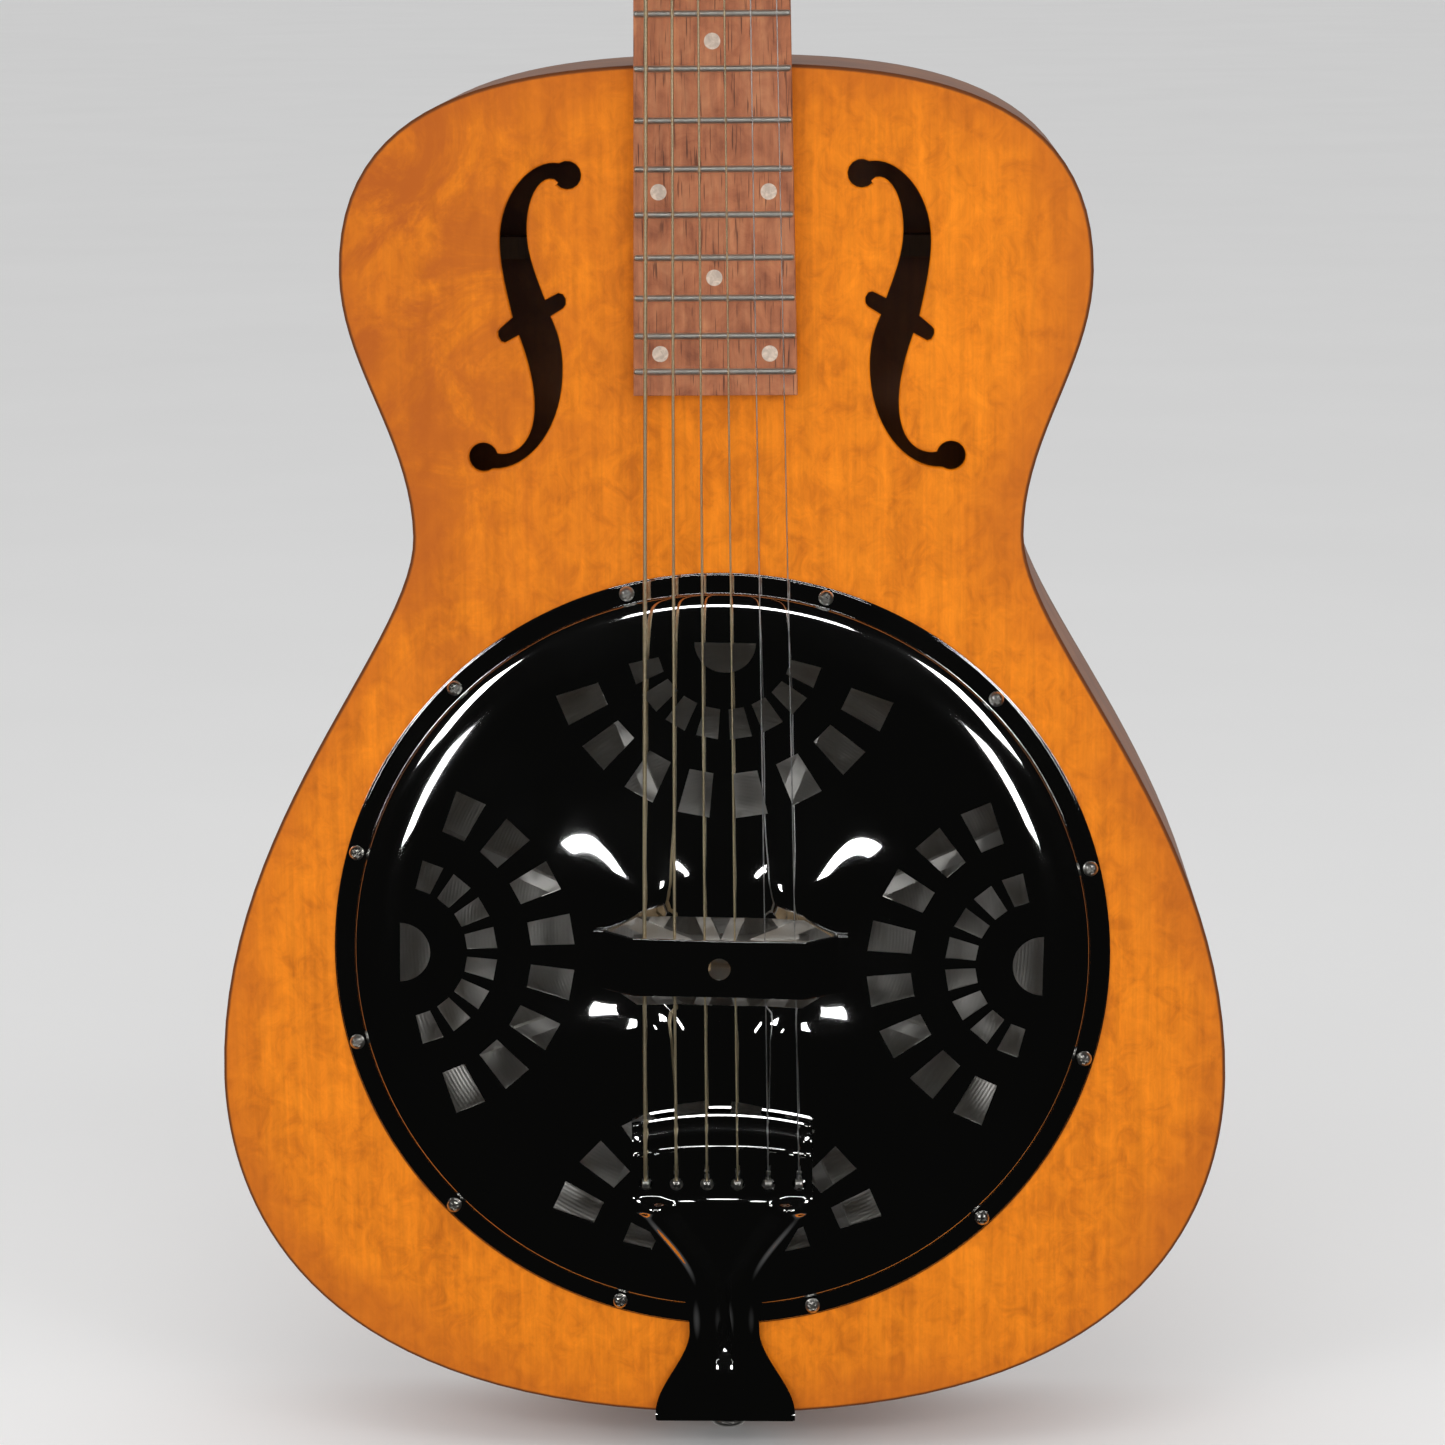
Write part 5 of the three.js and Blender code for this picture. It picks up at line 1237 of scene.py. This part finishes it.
def make_posts():
    for i, (x0, z0, _) in enumerate(POSTS):
        place = local_place((x0, z0))
        profile = [(0.001, 16), (2.2, 16), (2.9, 15.6), (3.0, 15), (3.0, 14.2), (2.75, 13.4), (2.75, 8.4)]
        profile += [(3.0, 7.6), (3.0, -18.1), (0.001, -18.1)]
        post = turned(f"tuner_shaft_post_{i + 1}", profile, 28, place)
        crisp(post, 50)
        wear(post, NICKEL, body=f"post_{i + 1}", stands_for=[f"tuner_post_{i + 1}"])

        loop = []
        pitch = 2 * math.pi / GEAR_TEETH
        for tooth in range(GEAR_TEETH):
            flank = ((5.4, 0.3), (6.35, 0.19), (6.6, 0.11))
            for radius, offset in [(r, -o) for r, o in flank] + list(reversed(flank)):
                angle = math.pi / 2 + (tooth + offset) * pitch
                loop.append((radius * math.cos(angle), radius * math.sin(angle)))
        gear = plate(f"tuner_gear_{i + 1}", loop, [], 1.2 - WORM_DEPTH, -1.2 - WORM_DEPTH, 0.2, place)
        wear(gear, NICKEL, body=f"post_{i + 1}")
        low = -WORM_DEPTH - 1.2
        head = [(2.6, low + 0.1), (2.6, low - 0.8), (2.2, low - 1.2), (0.001, low - 1.2)]
        screw = turned(f"gear_screw_{i + 1}", [(0.001, low + 0.1)] + head, 28, place)
        groove_shade = [(-0.35, -4), (0.35, -4), (0.35, 4), (-0.35, 4)]
        carve(screw, cutters("groove_shade", [groove_shade], low - 0.7, low - 3, place))
        crisp(screw, 40)
        wear(screw, STEEL, body=f"post_{i + 1}")


def make_keys():
    """Worm, shaft and pressed oval button of each tuner."""
    lead = 2 * math.pi * 6.25 / GEAR_TEETH
    for i, (x0, z0, side) in enumerate(POSTS):
        centre_z = z0 + WORM_OFFSET

        def place(x, y, z):
            return HEAD @ Vector(((x0 + x) * MM, (WORM_DEPTH + y) * MM, (centre_z + z) * MM))

        rings = []
        for k in range(73):
            x = (k / 72 - 0.5) * 9.0
            ring = []
            for j in range(28):
                angle = 2 * math.pi * j / 28
                wave = math.cos(2 * math.pi * x / lead - angle)
                radius = 2.0 - 0.5 * math.copysign(abs(wave) ** 0.7, wave)
                ring.append(place(x, radius * math.sin(angle), -radius * math.cos(angle)))
            rings.append(ring)
        body = f"key_{i + 1}"
        worm = rings_piece(f"tuner_worm_{i + 1}", rings)
        crisp(worm, 60)
        wear(worm, STEEL, body=body, stands_for=[f"tuner_key_{i + 1}"])

        inner, outer = -side * 6.9, side * 20.0
        profile = [(0.001, inner), (1.2, inner), (1.5, inner + side * 0.4), (1.5, side * 12.4)]
        profile += [(2.6, side * 12.8), (2.6, side * 14.6), (1.9, side * 15.2), (1.7, side * 17)]
        profile += [(2.4, outer - side * 2.4), (0.001, outer)]
        shaft = turned(f"tuner_shaft_{i + 1}", profile, 24, lambda a, x, b: place(x, a, b))
        crisp(shaft, 40)
        wear(shaft, NICKEL, body=body)

        middle = side * (17.0 + 7.5)
        rings = []
        for k in range(1, 32):
            turn = math.pi * k / 32
            along = -math.cos(turn) * 7.5
            swell = math.sin(turn) ** 0.62
            ring = []
            for j in range(40):
                angle = 2 * math.pi * j / 40
                c, s = math.cos(angle), math.sin(angle)
                flat = math.copysign(abs(c) ** 0.75, c)
                wide = math.copysign(abs(s) ** 0.9, s)
                pinch = 1 - 0.18 * (1 - abs(s) ** 2) * math.sin(turn)
                ring.append(place(middle + along, 3.3 * swell * flat * pinch, 8.3 * swell * wide))
            rings.append(ring)
        button = rings_piece(f"tuner_button_{i + 1}", rings)
        wear(button, NICKEL, body=body)


def make_headstock_fittings():
    """Bushings round the posts, and the small screws of the tuner plates and the rod's cover."""
    rings = []
    for x0, z0, _ in POSTS:
        profile = [(3.35, 0.5), (3.35, 2.2), (3.6, 2.4), (4.3, 2.3)]
        profile += [(4.7, 1.7), (5.4, 1.4), (5.6, 0.9), (5.6, 0.5)]
        rings.append(turned("bushing", profile + [profile[0]], 32, local_place((x0, z0))))
    bushings = joined("post_bushings", *rings)
    crisp(bushings, 40)
    wear(bushings, NICKEL)

    screws = []
    for side in (-1, 1):
        for z0 in (28.0, 56.0, 96.0, 130.0):
            place = local_place((side * (POST_SIDE - 4.5), z0))
            back = -16.55
            profile = [(0.001, back), (1.9, back), (1.8, back - 0.5), (1.1, back - 1.0), (0.001, back - 1.15)]
            screws.append(turned("plate_screw", profile, 20, place))
    for x0, z0 in ((-8.0, 4.5), (8.0, 4.5), (0.0, 24.0)):
        profile = [(0.001, 3.1), (0.8, 3.0), (1.4, 2.6), (1.5, 2.35), (0.001, 2.3)]
        screws.append(turned("cover_pin", profile, 20, local_place((x0, z0))))
    small = joined("small_head_screws", *screws)
    crisp(small, 40)
    wear(small, NICKEL)


# ---- Strings ----
def make_strings():
    for i, gauge in enumerate(STRING_GAUGES):
        radius = gauge / 2
        spreads = (TAIL_SPREAD, SADDLE_SPREAD, NUT_SPREAD)
        x_tail, x_saddle, x_nut = ((i / 5 - 0.5) * spread for spread in spreads)
        post_x, post_z, side = POSTS[POST_OF_STRING[i]]
        tail_height_here = 10.2 - TAIL_SHEET / 2
        ball = at(x_tail, tail_height_here, -BALL_DROP)
        saddle = at(x_saddle, SADDLE_HEIGHT + radius, 0)
        nut = at(x_nut, BOARD_FRONT + 1.5 + radius, NUT_EDGE + 1)
        path = [ball, at(x_tail, tail_height_here + 2.4, -BALL_DROP + 5)]
        path += [path[-1].lerp(saddle, k / 10) for k in range(1, 11)]
        path += [saddle.lerp(nut, k / 40) for k in range(1, 41)]
        coil = 3.3 + radius
        turns = []
        for step in range(2 * 20 + 1):
            angle = 2 * math.pi * step / 20
            x = post_x - side * coil * math.cos(angle)
            z = post_z + coil * math.sin(angle)
            turns.append(head_place(x, 12 - (gauge + 0.3) * step / 20, z))
        path += [nut.lerp(turns[0], k / 6) for k in range(1, 6)] + turns
        wire = tube(f"wire_{i + 1}", path, radius * MM, 12)
        profile = [(0.6, -1.4), (1.5, -1.4), (2.0, -1.0), (1.6, 0.0), (2.0, 1.0), (1.5, 1.4), (0.6, 1.4)]
        spool = turned("ball_end", profile, 24, lambda a, h, b, o=ball: o + Vector((h * MM, a * MM, b * MM)))
        wear(spool, NICKEL)
        spool.name = f"ball_end_{i + 1}"
        material = BRONZE if i < WOUND_STRINGS else STEEL
        wear(wire, material, stands_for=[f"string_{i + 1}"])


# ---- Pieces kept from the construction model ----
def dress(names, material, bevel=0.0):
    """A finish on carried-over nodes, with their sharp edges eased where bevel is given."""
    for name in names:
        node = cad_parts[name]
        node.data.materials.clear()
        node.data.materials.append(material)
        if bevel:
            eased = node.modifiers.new("eased_edges", "BEVEL")
            eased.width = bevel * MM
            eased.segments = 2
            eased.limit_method = "ANGLE"
            eased.angle_limit = math.radians(40)


def dress_inner_pieces():
    # The pieces inside the body take the inner wood, whose tones are darkened as painted shade.
    dress(["lining_top", "lining_back", "neck_block", "tail_block"], INNER_WOOD_DARKENED_FOR_SHADE)
    dress(["top_brace", "back_brace_upper", "back_brace_lower", "soundwell"], INNER_WOOD_DARKENED_FOR_SHADE)
    dress(["saddle_bass", "saddle_treble"], SADDLE_MAPLE, 0.3)
    dress(["spider"], CAST, 0.5)
    dress(["tension_screw", "truss_rod", "neck_bolt_upper", "neck_bolt_lower"], STEEL, 0.3)
    dress(["truss_rod_cover"], BLACK, 0.3)
    dress(["nut"], BONE, 0.5)
    dress(["tuner_plate_bass", "tuner_plate_treble"], NICKEL, 0.3)


# ---- Setting ----
CAMERA_PLACE = (53.9, 1423.9, 380.5)
CAMERA_TURNS = (2.119, -11.651, 0.522)
CAMERA_LENS = 100.5
LAMP_GLOW = 7.0
LAMP_DISTANCE = 1.6
# Each lamp: where the cover mirrors it, in millimetres from the cone's centre, and its size in metres
LAMPS = [
    ("left_ridge_lamp", -39.0, 36.0, (0.1, 0.24)),
    ("right_ridge_lamp", 39.0, 36.0, (0.1, 0.24)),
    ("left_rim_lamp", -91.0, 94.0, (0.28, 0.5)),
    ("right_rim_lamp", 91.0, 94.0, (0.28, 0.5)),
]


def make_camera():
    """The camera stands in front of and above the cover, looking slightly down."""
    yaw, pitch, roll = (math.radians(a) for a in CAMERA_TURNS)
    aimed = Matrix.Rotation(yaw, 3, "Z") @ Matrix.Rotation(pitch, 3, "X") @ Matrix.Rotation(roll, 3, "Y")
    data = bpy.data.cameras.new("camera")
    data.lens = CAMERA_LENS
    data.sensor_width = 36
    data.clip_end = 100
    camera = bpy.data.objects.new("camera", data)
    bpy.context.scene.collection.objects.link(camera)
    upright = aimed @ Matrix.Rotation(math.pi / 2, 3, "X")
    camera.matrix_world = Matrix.Translation(at(*CAMERA_PLACE)) @ upright.to_4x4()
    bpy.context.scene.camera = camera


def softbox(name, place, aim, size, power, mirrored=True):
    """A rectangular lamp; mirrored lamps also show in the polished metal."""
    data = bpy.data.lights.new(name, "AREA")
    data.shape = "RECTANGLE"
    data.size, data.size_y = size
    data.energy = power
    lamp = bpy.data.objects.new(name, data)
    bpy.context.scene.collection.objects.link(lamp)
    lamp.location = place
    lamp.rotation_euler = (Vector(aim) - Vector(place)).to_track_quat("-Z", "Y").to_euler()
    lamp.visible_glossy = mirrored


def mirrored_from(x, z, distance):
    """The place whose mirror image the camera sees at a point of the cover."""
    normal = facing(cover_height, x, z)
    spot = at(x, cover_height(x, z), z)
    ray = (spot - at(*CAMERA_PLACE)).normalized()
    return spot + ray.reflect(normal) * distance


def make_lights():
    middle = at(0, 0, 60)
    softbox("left_window", (-1.6, -1.5, 0.3), middle, (0.9, 1.3), 7, mirrored=False)
    softbox("right_window", (1.6, -1.5, 0.2), middle, (0.9, 1.3), 7, mirrored=False)
    softbox("overhead", (0.0, -1.2, 1.2), middle, (1.4, 0.6), 4, mirrored=False)
    for name, x, z, size in LAMPS:
        power = LAMP_GLOW * math.pi * size[0] * size[1]
        softbox(name, mirrored_from(x, z, LAMP_DISTANCE), at(x, 0, z), size, power)
    softbox("ceiling_lamp", (0.02, -1.6, 0.25), middle, (0.9, 0.12), 1.8)


def make_world():
    """Pale all round for the eye, even for soft light, and a dark room in front for the chrome."""
    world = bpy.data.worlds.new("studio")
    bpy.context.scene.world = world
    world.use_nodes = True
    nodes = Nodes(world.node_tree)
    background = world.node_tree.nodes["Background"]
    path = nodes.add("LightPath")
    place = nodes.add("TexCoord").outputs["Generated"]
    split = nodes.add("SeparateXYZ", Vector=place)
    behind = nodes.spread(split.outputs["Y"], -0.1, 0.6)
    room = nodes.mix(behind, (0.003, 0.003, 0.0028, 1), (0.3, 0.3, 0.3, 1))
    light = nodes.mix(path.outputs["Is Glossy Ray"], (0.7, 0.7, 0.7, 1), room)
    seen = nodes.mix(path.outputs["Is Camera Ray"], light, (0.83, 0.83, 0.835, 1))
    nodes.feed(background.inputs["Color"], seen)
    background.inputs["Strength"].default_value = 1.0


def make_floor():
    """A wide pale floor just under the strap button."""
    radius, level = 30.0, CAD_BOX[0].z - 0.002
    points = [(x, y, level) for x, y in arc((0, 0), radius, 0, 360, 64)[:-1]]
    floor = mesh_piece("floor", points, [tuple(range(64))], smooth=False)
    material, nodes, shader = new_finish("pale_floor", Roughness=0.9)
    place = nodes.add("TexCoord").outputs["Object"]
    drift = nodes.add("TexNoise", Vector=place, Scale=3.0, Detail=3.0)
    tone = nodes.ramp(drift.outputs["Fac"], (0.3, grey(0.9)), (0.7, grey(0.92)))
    nodes.feed(shader["Base Color"], tone)
    floor.data.materials.append(material)
    floor.visible_glossy = False
    floor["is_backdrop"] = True


make_camera()
make_top()
make_back()
make_sides()
make_cone()
make_cover()
make_cover_screws()
make_hand_rest()
make_tailpiece()
make_strap_button()
make_board()
make_neck()
make_posts()
make_keys()
make_headstock_fittings()
make_strings()
dress_inner_pieces()
make_floor()
make_lights()
make_world()
bpy.context.scene.view_settings.view_transform = "Standard"

bounds = {"cad": CAD_BOX, "visual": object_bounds()}
{name: [list(corner) for corner in box] for name, box in bounds.items()}
